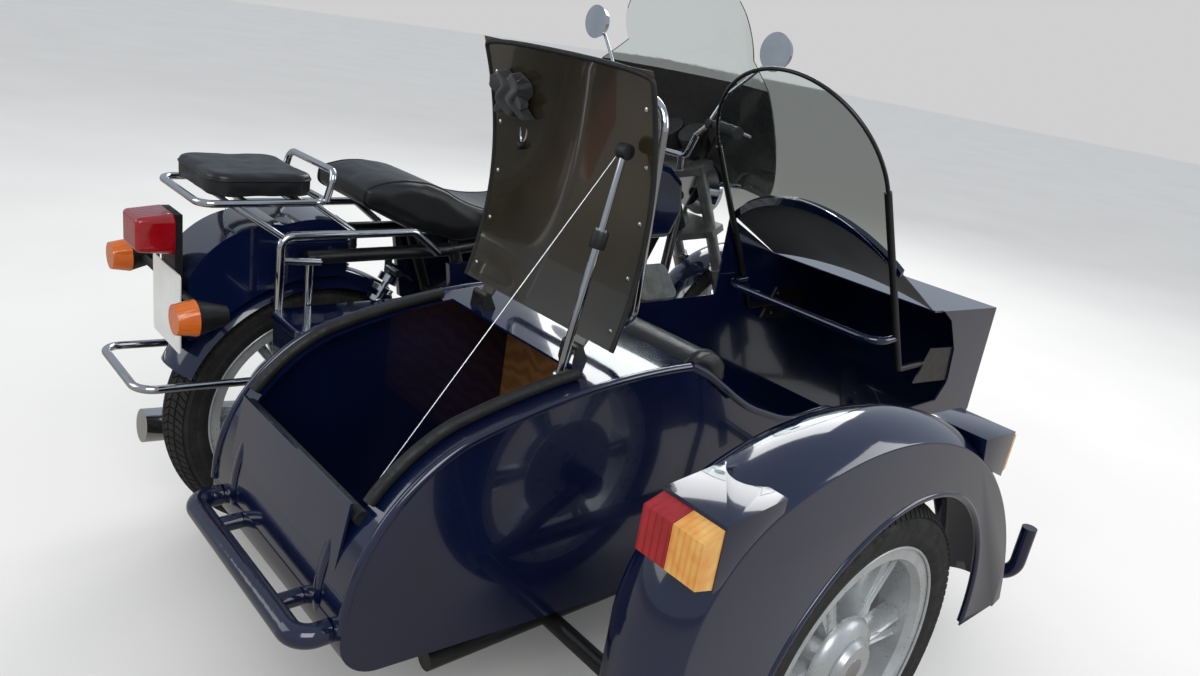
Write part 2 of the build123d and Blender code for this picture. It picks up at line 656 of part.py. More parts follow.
# Sidecar body: hollow shell, boot behind, cockpit ahead, wedge nose
body_mid = (body_left + body_right) / 2
body_half = (body_left - body_right) / 2
hinge_x = 146.0
hinge_z = 772.0
lip_x = -305.0
lip_z = 560.0
rim_inset = 58.0
seal_inset = 46.0
seal_radius = 11.0
tail_points = ((-352, 400), (-290, 583), (-150, 690))
deck_points = ((-150, 690), (80, 738), (351, 748))
with BuildPart() as sidecar_body:
    with BuildSketch(side(body_left)) as body_side:
        with BuildLine():
            ThreePointArc(*tail_points)
            ThreePointArc(*deck_points)
            Polyline((351, 748), (480, 656), (1050, 656), (1050, 886), (1290, 766), (1655, 744), (1672, 420),
                     (1560, floor_height), (191, floor_height), (-278, 300))
            ThreePointArc((-278, 300), (-338, 330), (-352, 400))
        make_face()
    extrude(amount=body_left - body_right)
    with BuildSketch(side(body_left - body_wall)):
        with BuildLine():
            ThreePointArc((-347, 402), (-286, 579), (-149, 685))
            ThreePointArc((-149, 685), (80, 733), (349, 743))
            Polyline((349, 743), (476, 700), (1056, 700), (1056, 880), (1290, 761), (1650, 739), (1667, 422),
                     (1557, floor_height + body_wall), (191, floor_height + body_wall), (-277, 305))
            ThreePointArc((-277, 305), (-334, 334), (-347, 402))
        make_face()
    extrude(amount=body_left - body_right - 2 * body_wall, mode=Mode.SUBTRACT)
    with BuildSketch(side(body_left - rim_inset)):
        Polygon((-420, lip_z), (118, lip_z), (118, 900), (-420, 900), align=None)
    extrude(amount=body_left - body_right - 2 * rim_inset, mode=Mode.SUBTRACT)
    with BuildSketch(side(body_left - body_wall)):
        Polygon((372, 640), (1300, 640), (1300, 1000), (372, 1000), align=None)
    extrude(amount=body_left - body_right - 2 * body_wall, mode=Mode.SUBTRACT)
    with BuildSketch(side(body_right + body_wall + 2)):
        with BuildLine():
            Polyline((351, 760), (351, 748), (458, 689), (538, 636), (638, 592), (743, 558), (860, 562), (925, 536),
                     (965, 486), (1440, 486), (1480, 540), (1462, 640), (1395, 731), (1275, 800), (1050, 886),
                     (1050, 1000), (351, 1000), (351, 760))
        make_face()
    extrude(amount=20, mode=Mode.SUBTRACT)
    with BuildSketch(side(body_left - rim_inset)):
        Polygon((-348, 440), (-322, 590), (-317, 590), (-343, 440), align=None)
    extrude(amount=body_left - body_right - 2 * rim_inset)
save(sidecar_body.part, "sidecar_body")

boot_partition_x = 318.0
with BuildPart() as boot_partition:
    with BuildSketch(across(boot_partition_x)):
        with Locations((body_mid, (floor_height + body_wall + 742) / 2)):
            Rectangle(2 * (body_half - body_wall), 742 - floor_height - body_wall)
    extrude(amount=12)
save(boot_partition.part, "boot_partition")

# Rubber seal round the boot opening, and the rubber-covered lip bar at the rear
tail_arc = ThreePointArc(*tail_points)
deck_arc = ThreePointArc(*deck_points)


def above(arc, share):
    """A place over one of the body's side arcs where the seal's middle runs."""
    point = arc @ share
    raised = point + (point - arc.arc_center).normalized() * (seal_radius + run_gap)
    return raised.X, raised.Y


with BuildPart() as boot_seal:
    pin(at(lip_x, body_left - seal_inset - 2, lip_z + 4), at(lip_x, body_right + seal_inset + 2, lip_z + 4), 13)
    add(sidecar_body.part, mode=Mode.SUBTRACT)
    for seal_y in (body_left - seal_inset, body_right + seal_inset):
        with BuildLine(side(seal_y)) as seal_route:
            ThreePointArc(above(tail_arc, 0.53), above(tail_arc, 0.76), above(tail_arc, 1.0))
            ThreePointArc(above(tail_arc, 1.0), above(deck_arc, 0.25), above(deck_arc, 0.5))
        with BuildSketch(Plane(origin=seal_route.line @ 0, z_dir=seal_route.line % 0)) as seal_ring:
            Circle(seal_radius)
        sweep(seal_ring.sketch, path=seal_route.line, transition=Transition.ROUND)
save(boot_seal.part, "boot_seal")

# Boot lid, made shut and then turned open about its hinge
lid_turn = 108.4
lid_half = 240.0
lid_thickness = 3.0
hinge_axis = Axis(at(hinge_x, 0, hinge_z), (0, 1, 0))
knuckle_radius = 8.0
hinge_pin_radius = 4.0
hinge_places = (body_mid + 150, body_mid - 150)

with BuildPart() as boot_lid:
    with BuildSketch(side(body_mid)):
        with BuildLine():
            ThreePointArc((-336, 610), (-160, 722), (126, 780))
            Line((126, 780), (126, 780 + lid_thickness))
            ThreePointArc((126, 780 + lid_thickness), (-161, 722 + lid_thickness), (-337, 610 + lid_thickness))
            Line((-337, 610 + lid_thickness), (-336, 610))
        make_face()
    extrude(amount=lid_half, both=True)
    for hinge_y in hinge_places:
        with BuildSketch(side(hinge_y)) as strap_side:
            Polygon((hinge_x - 4, hinge_z), (hinge_x - 4, 780), (126, 783), (60, 778), (60, 783.5), (126, 789),
                    (hinge_x + 6, 782), (hinge_x + 6, hinge_z), align=None)
            with Locations((hinge_x, hinge_z)):
                Circle(knuckle_radius)
                Circle(hinge_pin_radius + run_gap, mode=Mode.SUBTRACT)
        extrude(amount=18, both=True)
save(boot_lid.part.rotate(hinge_axis, lid_turn), "boot_lid")

# Hinge ears and pins on the deck, with the foot bracket of the lid's stay
stay_y = -850.0
stay_foot = (85.0, 735.0)
ear_gap = 0.5
with BuildPart() as lid_hinges:
    for hinge_y in hinge_places:
        for hand in (1, -1):
            with BuildSketch(side(hinge_y + hand * (18 + ear_gap))):
                with BuildLine():
                    Line((hinge_x - 12, 742), (hinge_x + 22, 745))
                    Line((hinge_x + 22, 745), (hinge_x + 8, hinge_z))
                    ThreePointArc((hinge_x + 8, hinge_z), (hinge_x, hinge_z + 8), (hinge_x - 8, hinge_z))
                    Line((hinge_x - 8, hinge_z), (hinge_x - 12, 742))
                make_face()
            extrude(amount=-5 * hand)
        pin(at(hinge_x, hinge_y - 21, hinge_z), at(hinge_x, hinge_y + 21, hinge_z), hinge_pin_radius)
    with BuildSketch(side(stay_y - 8)):
        with Locations(stay_foot):
            Rectangle(28, 22)
    extrude(amount=body_right + rim_inset - stay_y + 8, dir=(0, 1, 0))
    pin(at(stay_foot[0], stay_y - 9, stay_foot[1]), at(stay_foot[0], stay_y + 9, stay_foot[1]), hinge_pin_radius)
    add(sidecar_body.part, mode=Mode.SUBTRACT)
save(lid_hinges.part, "lid_hinges")

# Luggage rack on the lid, drawn shut like the lid
rack_half = 195.0
rack_front = (84.0, 858.0)
rack_back = (-318.0, 716.0)
with BuildPart() as lid_rack:
    rack_front_left = at(rack_front[0], body_mid + rack_half, rack_front[1])
    rack_back_left = at(rack_back[0], body_mid + rack_half, rack_back[1])
    rack_front_right = at(rack_front[0], body_mid - rack_half, rack_front[1])
    rack_back_right = at(rack_back[0], body_mid - rack_half, rack_back[1])
    bar([rack_front_left, rack_back_left, rack_back_right, rack_front_right], 9, 50, loop=True)
    for share in (0.3, 0.7):
        left = rack_front_left + (rack_back_left - rack_front_left) * share
        right = rack_front_right + (rack_back_right - rack_front_right) * share
        pin(left, right, 8)
        for hand_y in (body_mid + rack_half * 0.9, body_mid - rack_half * 0.9):
            foot_top = Vector(left.X, at(0, hand_y, 0).Y, left.Z)
            pin(foot_top, foot_top + Vector(0.33, 0, -0.944) * 78, 8)
    add(boot_lid.part, mode=Mode.SUBTRACT)
    with BuildSketch(side(body_mid)):
        with BuildLine():
            ThreePointArc((-336, 610), (-160, 722), (126, 780))
            Polyline((126, 780), (126, 560), (-336, 500), (-336, 610))
        make_face()
    extrude(amount=lid_half, both=True, mode=Mode.SUBTRACT)
save(lid_rack.part.rotate(hinge_axis, lid_turn), "lid_rack")

# Soft wrap over the latch under the lid's free left corner, drawn shut like the lid
with BuildPart() as lid_wrap:
    with BuildSketch(side(-456)):
        Polygon((-292, 644.5), (-262, 665), (-216, 692), (-206, 668), (-246, 636), (-278, 622), align=None)
    extrude(amount=104)
    fillet(lid_wrap.part.edges().filter_by(Axis.Y), 6)
save(lid_wrap.part.rotate(hinge_axis, lid_turn), "lid_wrap")

# Telescopic lid stay: lower tube on the boot's edge, rod to the lid
stay_eye = (158.0, 1142.0)
stay_tube_radius = 8.0
stay_rod_radius = 6.0
stay_tube_length = 270.0
stay_foot_at = at(stay_foot[0], stay_y, stay_foot[1])
stay_eye_at = at(stay_eye[0], stay_y, stay_eye[1])
stay_way = (stay_eye_at - stay_foot_at).normalized()
with BuildPart() as stay_tube:
    pin(stay_foot_at, stay_foot_at + stay_way * stay_tube_length, stay_tube_radius)
    pin(stay_foot_at + stay_way * (stay_tube_length - 24), stay_foot_at + stay_way * (stay_tube_length + 6), 12)
    pin(stay_foot_at + stay_way * 24, stay_foot_at + stay_way * (stay_tube_length + 20), stay_rod_radius + run_gap,
        mode=Mode.SUBTRACT)
    pin(stay_foot_at + Vector(0, -7, 0), stay_foot_at + Vector(0, 7, 0), 9)
    pin(stay_foot_at + Vector(0, -9, 0), stay_foot_at + Vector(0, 9, 0), hinge_pin_radius + run_gap, mode=Mode.SUBTRACT)
save(stay_tube.part, "stay_tube")

with BuildPart() as stay_rod:
    pin(stay_foot_at + stay_way * 150, stay_eye_at, stay_rod_radius)
    pin(stay_eye_at + Vector(0, -7, 0), stay_eye_at + Vector(0, 7, 0), 10)
save(stay_rod.part, "stay_rod")

# Cockpit cushions
cushion_foot = floor_height + body_wall + run_gap
cushion_top = cushion_foot + 130
with BuildPart() as seat_cushion:
    with BuildSketch(level(cushion_foot)):
        with Locations((640, body_mid)):
            RectangleRounded(430, 2 * (body_half - body_wall) - 24, 50)
    extrude(amount=cushion_top - cushion_foot)
    fillet(seat_cushion.part.faces().sort_by(Axis.Z)[-1].edges(), 26)
save(seat_cushion.part, "seat_cushion")

with BuildPart() as backrest:
    with BuildSketch(side(body_mid)) as back_side:
        with BuildLine():
            Polyline((376, cushion_top + run_gap), (380, 744), (392, 754))
            ThreePointArc((392, 754), (472, 756), (508, 690))
            Polyline((508, 690), (480, cushion_top + run_gap), (376, cushion_top + run_gap))
        make_face()
    extrude(amount=body_half - body_wall - 12, both=True)
    fillet(backrest.part.faces().filter_by(Axis.Y).edges(), 8)
save(backrest.part, "backrest")

# Windscreen plane of the sidecar, leaning back
screen_foot = (1208.0, 610.0)
screen_lean = 30.7
screen_up = Vector(-sin(radians(screen_lean)), 0, cos(radians(screen_lean)))
screen = Plane(origin=at(screen_foot[0], body_mid, screen_foot[1]), x_dir=(0, 1, 0),
               z_dir=(cos(radians(screen_lean)), 0, sin(radians(screen_lean))))
post_y = 256.0
post_top = 549.0
hoop_foot = 318.0
hoop_crown = 440.0
with BuildPart() as windscreen_frame:
    with BuildLine(screen) as arch:
        Line((-post_y, 0), (-post_y, post_top))
        ThreePointArc((-post_y, post_top), (0, post_top + post_y), (post_y, post_top))
        Line((post_y, post_top), (post_y, 0))
    with BuildSketch(Plane(origin=arch.line @ 0, z_dir=arch.line % 0)):
        Circle(5)
    sweep(path=arch.line)
    for hand in (1, -1):
        post_foot = screen.from_local_coords(Vector(hand * post_y, 0, 0))
        pin(post_foot, post_foot + screen_up * post_top, 9)
        toe = post_foot + Vector(120, 0, 0)
        pin(post_foot, toe, 9)
        with BuildSketch(side(body_mid + hand * (body_half - body_wall))):
            Polygon((1290, 560), (1340, 655), (1500, 640), (1500, 540), align=None)
        extrude(amount=4 * hand)
save(windscreen_frame.part, "windscreen_frame")

with BuildPart() as windscreen_pane:
    with BuildSketch(screen):
        with BuildLine():
            ThreePointArc((-post_y + 3, hoop_foot + 14), (0, hoop_crown + 14), (post_y - 3, hoop_foot + 14))
            Line((post_y - 3, hoop_foot + 14), (post_y - 3, post_top))
            ThreePointArc((post_y - 3, post_top), (0, post_top + post_y - 3), (-post_y + 3, post_top))
            Line((-post_y + 3, post_top), (-post_y + 3, hoop_foot + 14))
        make_face()
    extrude(amount=1.5, both=True)
    add(windscreen_frame.part, mode=Mode.SUBTRACT)
save(windscreen_pane.part, "windscreen_pane")

# Cowl hoop in front of the posts
with BuildPart() as cowl_hoop:
    with BuildSketch(screen.offset(10)):
        with BuildLine():
            ThreePointArc((-body_half, hoop_foot), (0, hoop_crown), (body_half, hoop_foot))
            Line((body_half, hoop_foot), (body_half - body_wall - 1, hoop_foot - 18))
            ThreePointArc((body_half - body_wall - 1, hoop_foot - 18), (0, hoop_crown - 24),
                          (-body_half + body_wall + 1, hoop_foot - 18))
            Line((-body_half + body_wall + 1, hoop_foot - 18), (-body_half, hoop_foot))
        make_face()
    extrude(amount=14)
    add(sidecar_body.part, mode=Mode.SUBTRACT)
save(cowl_hoop.part, "cowl_hoop")

cover_inset = body_wall + 1.5
with BuildPart() as cowl_cover:
    with BuildSketch(screen.offset(25)):
        with BuildLine():
            ThreePointArc((-body_half + cover_inset, hoop_foot - 8), (0, hoop_crown - 4),
                          (body_half - cover_inset, hoop_foot - 8))
            Line((body_half - cover_inset, hoop_foot - 8), (body_half - cover_inset, hoop_foot - 13))
            ThreePointArc((body_half - cover_inset, hoop_foot - 13), (0, hoop_crown - 9),
                          (-body_half + cover_inset, hoop_foot - 13))
            Line((-body_half + cover_inset, hoop_foot - 13), (-body_half + cover_inset, hoop_foot - 8))
        make_face()
    with BuildSketch(Plane(origin=at(1288, body_mid, 0), x_dir=(0, 1, 0), z_dir=(1, 0, 0))):
        with BuildLine():
            ThreePointArc((-body_half + cover_inset, 772), (0, 800), (body_half - cover_inset, 772))
            Line((body_half - cover_inset, 772), (body_half - cover_inset, 767))
            ThreePointArc((body_half - cover_inset, 767), (0, 795), (-body_half + cover_inset, 767))
            Line((-body_half + cover_inset, 767), (-body_half + cover_inset, 772))
        make_face()
    loft(ruled=True)
save(cowl_cover.part, "cowl_cover")

with BuildPart() as grab_bar:
    bar([at(1156, body_mid + post_y - 4, 702), at(1068, body_mid + post_y - 4, 698),
         at(1068, body_mid - post_y + 4, 698), at(1156, body_mid - post_y + 4, 702)], 10, 50)
    add(windscreen_frame.part, mode=Mode.SUBTRACT)
save(grab_bar.part, "grab_bar")

# Sidecar chassis under the body, with the struts to the motorcycle and the wheel arm
chassis_z = 232.0
chassis_radius = 22.0
rail_left = -352.0
rail_right = -880.0
rail_outer = -1195.0
hub_face = -sidecar_track + tyre_width / 2 - bead_inset + 14
with BuildPart() as sidecar_chassis:
    for rail in (rail_left, rail_right):
        pin(at(-160, rail, chassis_z), at(1230, rail, chassis_z), chassis_radius)
    for cross_x in (-110, 1180):
        pin(at(cross_x, rail_left, chassis_z), at(cross_x, rail_right, chassis_z), 17)
    for rail in (rail_left - 60, rail_right):
        for pad_x in (250, 1180):
            pin(at(pad_x, rail, chassis_z), at(pad_x, rail, floor_height - run_gap), 20)
    pin(at(250, rail_left, chassis_z), at(250, rail_left - 60, chassis_z), 16)
    for cross_x in (110, 740):
        pin(at(cross_x, rail_left, chassis_z), at(cross_x, rail_outer, chassis_z), 18)
    pin(at(85, rail_outer, chassis_z), at(765, rail_outer, chassis_z), 21)
    pin(at(170, rail_outer, chassis_z + 8), at(sidecar_lead, rail_outer - 24, tyre_radius), 16)
    pin(at(sidecar_lead, rail_outer + 6, tyre_radius), at(sidecar_lead, hub_face - 2, tyre_radius), 30)
    pin(at(sidecar_lead, hub_face, tyre_radius), at(sidecar_lead, -sidecar_track - 52, tyre_radius), axle_radius)
    for strut_x, strut_end_x, strut_y, strut_z in ((560, 560, -124, 215), (1090, 1090, -124, 234),
                                                   (420, 409, -122, 440), (1150, 1178, -70, 560)):
        pin(at(strut_x, rail_left, chassis_z), at(strut_end_x, strut_y, strut_z), 17)
    for stay_route in ([at(110, rail_outer, chassis_z), at(50, -1226, 430), at(30, -1250.7, 745)],
                       [at(740, rail_outer, chassis_z), at(800, -1226, 400), at(760, -1250.7, 612)]):
        bar(stay_route, 9, 60)
    add(bike_frame.part, mode=Mode.SUBTRACT)
save(sidecar_chassis.part, "sidecar_chassis")

# Rear and front bumper tubes of the sidecar
bumper_radius = 20.0
bumper_x = -407.0
bumper_z = 378.0
bumper_start = -355.2
with BuildPart() as bumpers:
    bar([at(bumper_start, body_left - 40, bumper_z), at(bumper_x, body_left - 40, bumper_z),
         at(bumper_x, body_right + 40, bumper_z), at(bumper_start, body_right + 40, bumper_z)], bumper_radius, 34)
    for hand in (1, -1):
        pin(at(bumper_x, body_mid + hand * 130, bumper_z), at(bumper_start, body_mid + hand * 130, bumper_z), 15)
    bar([at(1170, rail_right - 18, chassis_z), at(1130, -1010, chassis_z), at(1037, -1200, 300),
         at(1037, -1395, 320), at(1037, -1395, 450)], 16, 50)
    add(sidecar_chassis.part, mode=Mode.SUBTRACT)
save(bumpers.part, "bumpers")

# Sidecar mudguard: a crowned sheet swept along its ridge, with a deep outer side plate
arch_centre = (430.0, 318.0)
arch_radius = 366.0
arch_middle = -1332.0
arch_half = 72.0
arch_shell = 4.0
ridge_top = (255.0, 841.0)
ridge_front = (1006.0, 300.0)
tail_x = -149.0
tail_z = 420.0
rise_angle = 20.0
rise_radius = 700.0
crown_drop = 30.0
skirt = 62.0
rise_start = (ridge_top[0] - rise_radius * sin(radians(rise_angle)),
              ridge_top[1] - rise_radius * (1 - cos(radians(rise_angle))))
corner_radius = (rise_start[0] - tail_x) / (1 - sin(radians(rise_angle)))
corner_z = rise_start[1] - corner_radius * cos(radians(rise_angle))


def ridge_line(inset):
    """Draw the guard's line in side view, inset from the ridge, and give its front end."""
    chord = Vector(ridge_front[0] - ridge_top[0], ridge_front[1] - ridge_top[1])
    front_radius = chord.length**2 / (2 * -chord.Y)
    front_angle = 2 * degrees(asin(chord.length / 2 / front_radius))
    Line((tail_x + inset, tail_z), (tail_x + inset, corner_z))
    CenterArc((tail_x + corner_radius, corner_z), corner_radius - inset, 180, rise_angle - 90)
    CenterArc((ridge_top[0], ridge_top[1] - rise_radius), rise_radius - inset, 90 + rise_angle, -rise_angle)
    front = CenterArc((ridge_top[0], ridge_top[1] - front_radius), front_radius - inset, 90, -front_angle)
    return front @ 1


with BuildPart() as sidecar_mudguard:
    with BuildLine(side(arch_middle)) as ridge:
        ridge_line(0)
    ridge_start = Plane(origin=ridge.line @ 0, x_dir=(0, -1, 0), z_dir=ridge.line % 0)
    with BuildSketch(ridge_start) as crown:
        with BuildLine():
            Polyline((arch_half - arch_shell, skirt), (arch_half, skirt), (arch_half, crown_drop))
            ThreePointArc((arch_half, crown_drop), (0, 0), (-arch_half, crown_drop))
            Polyline((-arch_half, crown_drop), (-arch_half, skirt), (arch_shell - arch_half, skirt),
                     (arch_shell - arch_half, crown_drop + 2))
            ThreePointArc((arch_shell - arch_half, crown_drop + 2), (0, arch_shell), (arch_half - arch_shell, crown_drop + 2))
            Line((arch_half - arch_shell, crown_drop + 2), (arch_half - arch_shell, skirt))
        make_face()
    sweep(crown.sketch, path=ridge.line)
    with BuildSketch(side(arch_middle - arch_half + arch_shell)) as plate:
        with BuildLine():
            plate_front = ridge_line(crown_drop + 6)
            Polyline((tail_x + crown_drop + 6, tail_z), (arch_centre[0], tail_z), (arch_centre[0], plate_front.Y),
                     (plate_front.X, plate_front.Y))
        make_face()
        with Locations(arch_centre):
            Circle(arch_radius, mode=Mode.SUBTRACT)
    extrude(plate.sketch, amount=arch_shell)
save(sidecar_mudguard.part, "sidecar_mudguard")

# Solid core of the mudguard, to cut the lamp housings to its crown
with BuildPart() as guard_core:
    with BuildLine(side(arch_middle)) as core_ridge:
        ridge_line(0)
    core_start = Plane(origin=core_ridge.line @ 0, x_dir=(0, -1, 0), z_dir=core_ridge.line % 0)
    with BuildSketch(core_start) as core_section:
        with BuildLine():
            Polyline((-arch_half, crown_drop), (-arch_half, skirt), (arch_half, skirt), (arch_half, crown_drop))
            ThreePointArc((arch_half, crown_drop), (0, 0), (-arch_half, crown_drop))
        make_face()
    sweep(core_section.sketch, path=core_ridge.line)

# Marker lamps: a housing on the crown behind and one in front, each with two lenses side by side
lamp_inner = -1290.0
lamp_seam = -1346.0
lamp_outer = -1403.0
lens_rear_x = -96.0
lens_front_x = 742.0
lens_depth = 36.0
front_lens_depth = 14.0
with BuildPart() as marker_housings:
    with BuildSketch(side(lamp_inner)):
        Polygon((lens_rear_x, 684), (lens_rear_x, 784), (24, 794), (24, 745), align=None)
        Polygon((lens_front_x, 654), (lens_front_x, 748), (620, 756), (640, 700), align=None)
    extrude(amount=lamp_inner - lamp_outer)
    add(guard_core.part, mode=Mode.SUBTRACT)
save(marker_housings.part, "marker_housings")


def make_lens(name, high_y, low_y):
    """One colour of lens on the rear housing, and the same on the front one."""
    with BuildPart() as lenses:
        with BuildSketch(side(high_y)):
            Polygon((lens_rear_x - run_gap, 690), (lens_rear_x - run_gap, 778), (lens_rear_x - lens_depth, 768),
                    (lens_rear_x - lens_depth, 700), align=None)
            Polygon((lens_front_x + run_gap, 660), (lens_front_x + run_gap, 742),
                    (lens_front_x + front_lens_depth, 738), (lens_front_x + front_lens_depth, 666), align=None)
        extrude(amount=high_y - low_y)
        add(guard_core.part, mode=Mode.SUBTRACT)
    save(lenses.part, name)


make_lens("marker_red", lamp_inner - 2, lamp_seam + 0.5)
make_lens("marker_lamps", lamp_seam - 0.5, lamp_outer + 2)
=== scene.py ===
import json
import math

import bpy
import numpy as np
from bpy.props import FloatProperty, FloatVectorProperty, IntProperty, PointerProperty
from mathutils import Matrix, Vector


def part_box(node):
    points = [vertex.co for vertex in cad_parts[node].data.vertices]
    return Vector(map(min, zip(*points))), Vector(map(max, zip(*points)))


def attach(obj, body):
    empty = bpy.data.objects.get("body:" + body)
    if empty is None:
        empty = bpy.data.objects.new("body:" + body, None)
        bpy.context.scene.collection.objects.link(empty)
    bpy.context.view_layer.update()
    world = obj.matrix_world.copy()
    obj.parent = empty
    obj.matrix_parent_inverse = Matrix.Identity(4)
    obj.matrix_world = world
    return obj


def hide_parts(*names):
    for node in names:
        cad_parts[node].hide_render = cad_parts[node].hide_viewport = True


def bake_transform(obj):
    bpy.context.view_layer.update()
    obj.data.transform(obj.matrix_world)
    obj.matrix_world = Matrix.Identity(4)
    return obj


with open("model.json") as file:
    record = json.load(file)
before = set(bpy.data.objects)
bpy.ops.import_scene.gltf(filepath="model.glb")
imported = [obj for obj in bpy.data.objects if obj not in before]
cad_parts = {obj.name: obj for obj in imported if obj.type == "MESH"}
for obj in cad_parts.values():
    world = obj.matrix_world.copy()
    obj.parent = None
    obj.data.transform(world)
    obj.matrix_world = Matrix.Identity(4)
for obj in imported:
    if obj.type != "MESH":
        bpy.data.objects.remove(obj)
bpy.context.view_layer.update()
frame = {"nodes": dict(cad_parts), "record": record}

bl_info = {
    "name": "Sidecar outfit finish",
    "version": (1, 0, 0),
    "blender": (4, 5, 0),
    "location": "View3D > Sidebar > Outfit",
    "description": "Dresses the frame of a touring motorcycle with sidecar in its finishes and soft parts",
    "category": "Object",
}

MM = 0.001

# The rear tyre's foot is where the places of this file are measured from
tyre_low, tyre_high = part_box("rear_tyre")
foot = Vector(((tyre_low.x + tyre_high.x) / 2, (tyre_low.y + tyre_high.y) / 2, 0.0))


def place(x, y, z):
    """A place in metres from millimetres forward, left and up of the rear tyre's foot."""
    return foot + Vector((x, y, z)) * MM


def linear(code):
    """An sRGB hex value as a linear colour."""
    parts = [int(code[i:i + 2], 16) / 255 for i in (1, 3, 5)]
    return [c / 12.92 if c <= 0.04045 else ((c + 0.055) / 1.055) ** 2.4 for c in parts] + [1.0]


# What a user may change

def colour_of(name, description, code):
    """A colour setting with its default."""
    return FloatVectorProperty(name=name, description=description, subtype="COLOR", size=4, min=0.0, max=1.0,
                               default=linear(code))


def length_of(name, description, default_mm, low_mm, high_mm):
    """A length setting with its default and reach."""
    return FloatProperty(name=name, description=description, unit="LENGTH", default=default_mm * MM,
                         min=low_mm * MM, max=high_mm * MM)


class OutfitColours(bpy.types.PropertyGroup):
    """Colours of the outfit's paint, lenses and covers"""
    paint: colour_of("Paint", "Enamel of the body, tank and mudguards", "#060d26")
    paint_cloud: colour_of("Paint cloud", "Second tone of the enamel", "#091433")
    vinyl: colour_of("Upholstery", "Vinyl of the seats and cushions", "#0f0f11")
    vinyl_cloud: colour_of("Upholstery cloud", "Second tone of the vinyl", "#19191b")
    cowl: colour_of("Cowl cloth", "Coated cloth over the cockpit's front", "#141517")
    cowl_cloud: colour_of("Cowl cloth cloud", "Second tone of the cloth", "#1e1f22")
    red: colour_of("Red lens", "Red lamp plastic", "#8e0612")
    amber: colour_of("Amber lens", "Amber lamp plastic of the indicators", "#d65f08")
    straw: colour_of("Straw lens", "Sun-bleached amber plastic of the sidecar's markers", "#dd8f3c")


class OutfitSizes(bpy.types.PropertyGroup):
    """Sizes of the outfit's trim"""
    tread: length_of("Tread depth", "Height of the tread blocks of the three tyres", 5.5, 2, 7)
    bead: length_of("Body bead", "Radius of the rolled beads along the body's edges", 8, 4, 9)
    guard_edge: length_of("Mudguard edge", "Radius of the mudguard's folded edges", 16, 2, 24)
    edging: length_of("Lid edging", "Radius of the rubber round the lid", 5, 3, 6)
    wire: length_of("Lid wire", "Radius of the wire that holds the lid", 1.1, 0.6, 2)
    lever: length_of("Levers", "Radius of the clutch and brake levers", 4.5, 3, 6)
    ripple: length_of("Cowl ripple", "Height of the ripples in the cowl cloth", 3.5, 0, 5)
    voxel: length_of("Cushion detail", "Size of the cloth's cells on the cushions", 6, 4, 8)
    studs: IntProperty(name="Snap studs", description="Snap studs along the cowl cloth's edge", default=10,
                       min=4, max=20)


def colours():
    return bpy.context.scene.outfit_colours


def sizes():
    return bpy.context.scene.outfit_sizes


# Finishes

def add(tree, kind, inputs=None, **settings):
    """Add one node with its settings, and link or set its inputs."""
    node = tree.nodes.new(kind)
    for key, value in settings.items():
        setattr(node, key, value)
    for key, value in (inputs or {}).items():
        if isinstance(value, bpy.types.NodeSocket):
            tree.links.new(value, node.inputs[key])
        else:
            node.inputs[key].default_value = value
    return node


def new_material(name):
    """An empty node material with its shader and output, and the object's own coordinates."""
    material = bpy.data.materials.new(name)
    material.use_nodes = True
    tree = material.node_tree
    tree.nodes.clear()
    shader = add(tree, "ShaderNodeBsdfPrincipled")
    output = add(tree, "ShaderNodeOutputMaterial")
    tree.links.new(shader.outputs["BSDF"], output.inputs["Surface"])
    coords = add(tree, "ShaderNodeTexCoord").outputs["Object"]
    return material, tree, shader, coords


# Levels of the noise between which a finish's variation is spread
noise_low, noise_high = 0.3, 0.7
# How much rougher or smoother a gloss gets in its clouds
gloss_less, gloss_more = 0.8, 1.35


def mottle(tree, coords, size_mm, low, high):
    """Cloudy variation of one size, from low to high."""
    noise = add(tree, "ShaderNodeTexNoise", {"Vector": coords, "Scale": 1 / (size_mm * MM), "Detail": 4.0})
    spread = add(tree, "ShaderNodeMapRange", {"Value": noise.outputs["Fac"], "From Min": noise_low,
                                              "From Max": noise_high, "To Min": low, "To Max": high})
    return spread.outputs["Result"]


def two_tone(tree, factor, first, second):
    """A mix of two colours by a factor."""
    mix = add(tree, "ShaderNodeMix", data_type="RGBA")
    tree.links.new(factor, mix.inputs[0])
    mix.inputs[6].default_value = first
    mix.inputs[7].default_value = second
    return mix.outputs[2]


def relief(tree, height, depth_mm, strength=1.0, normal=None):
    """A bump of a real depth."""
    wanted = {"Height": height, "Distance": depth_mm * MM, "Strength": strength}
    if normal is not None:
        wanted["Normal"] = normal
    return add(tree, "ShaderNodeBump", wanted).outputs["Normal"]


def coated(name, first, second, rough, cloud_mm, grain_mm, depth_mm, metallic=0.0, coat=0.0):
    """A finish with cloudy tone, uneven gloss and a fine grain."""
    material, tree, shader, coords = new_material(name)
    tone = two_tone(tree, mottle(tree, coords, cloud_mm, 0.0, 1.0), first, second)
    tree.links.new(tone, shader.inputs["Base Color"])
    gloss = mottle(tree, coords, cloud_mm / 3, rough * gloss_less, rough * gloss_more)
    tree.links.new(gloss, shader.inputs["Roughness"])
    grain = add(tree, "ShaderNodeTexNoise", {"Vector": coords, "Scale": 1 / (grain_mm * MM), "Detail": 3.0})
    tree.links.new(relief(tree, grain.outputs["Fac"], depth_mm), shader.inputs["Normal"])
    shader.inputs["Metallic"].default_value = metallic
    shader.inputs["Coat Weight"].default_value = coat
    shader.inputs["Coat Roughness"].default_value = 0.03
    return material


# The vinyl's pebbles are really about 1 mm across, too fine to show
pebble_mm, crease_mm = 2.4, 60


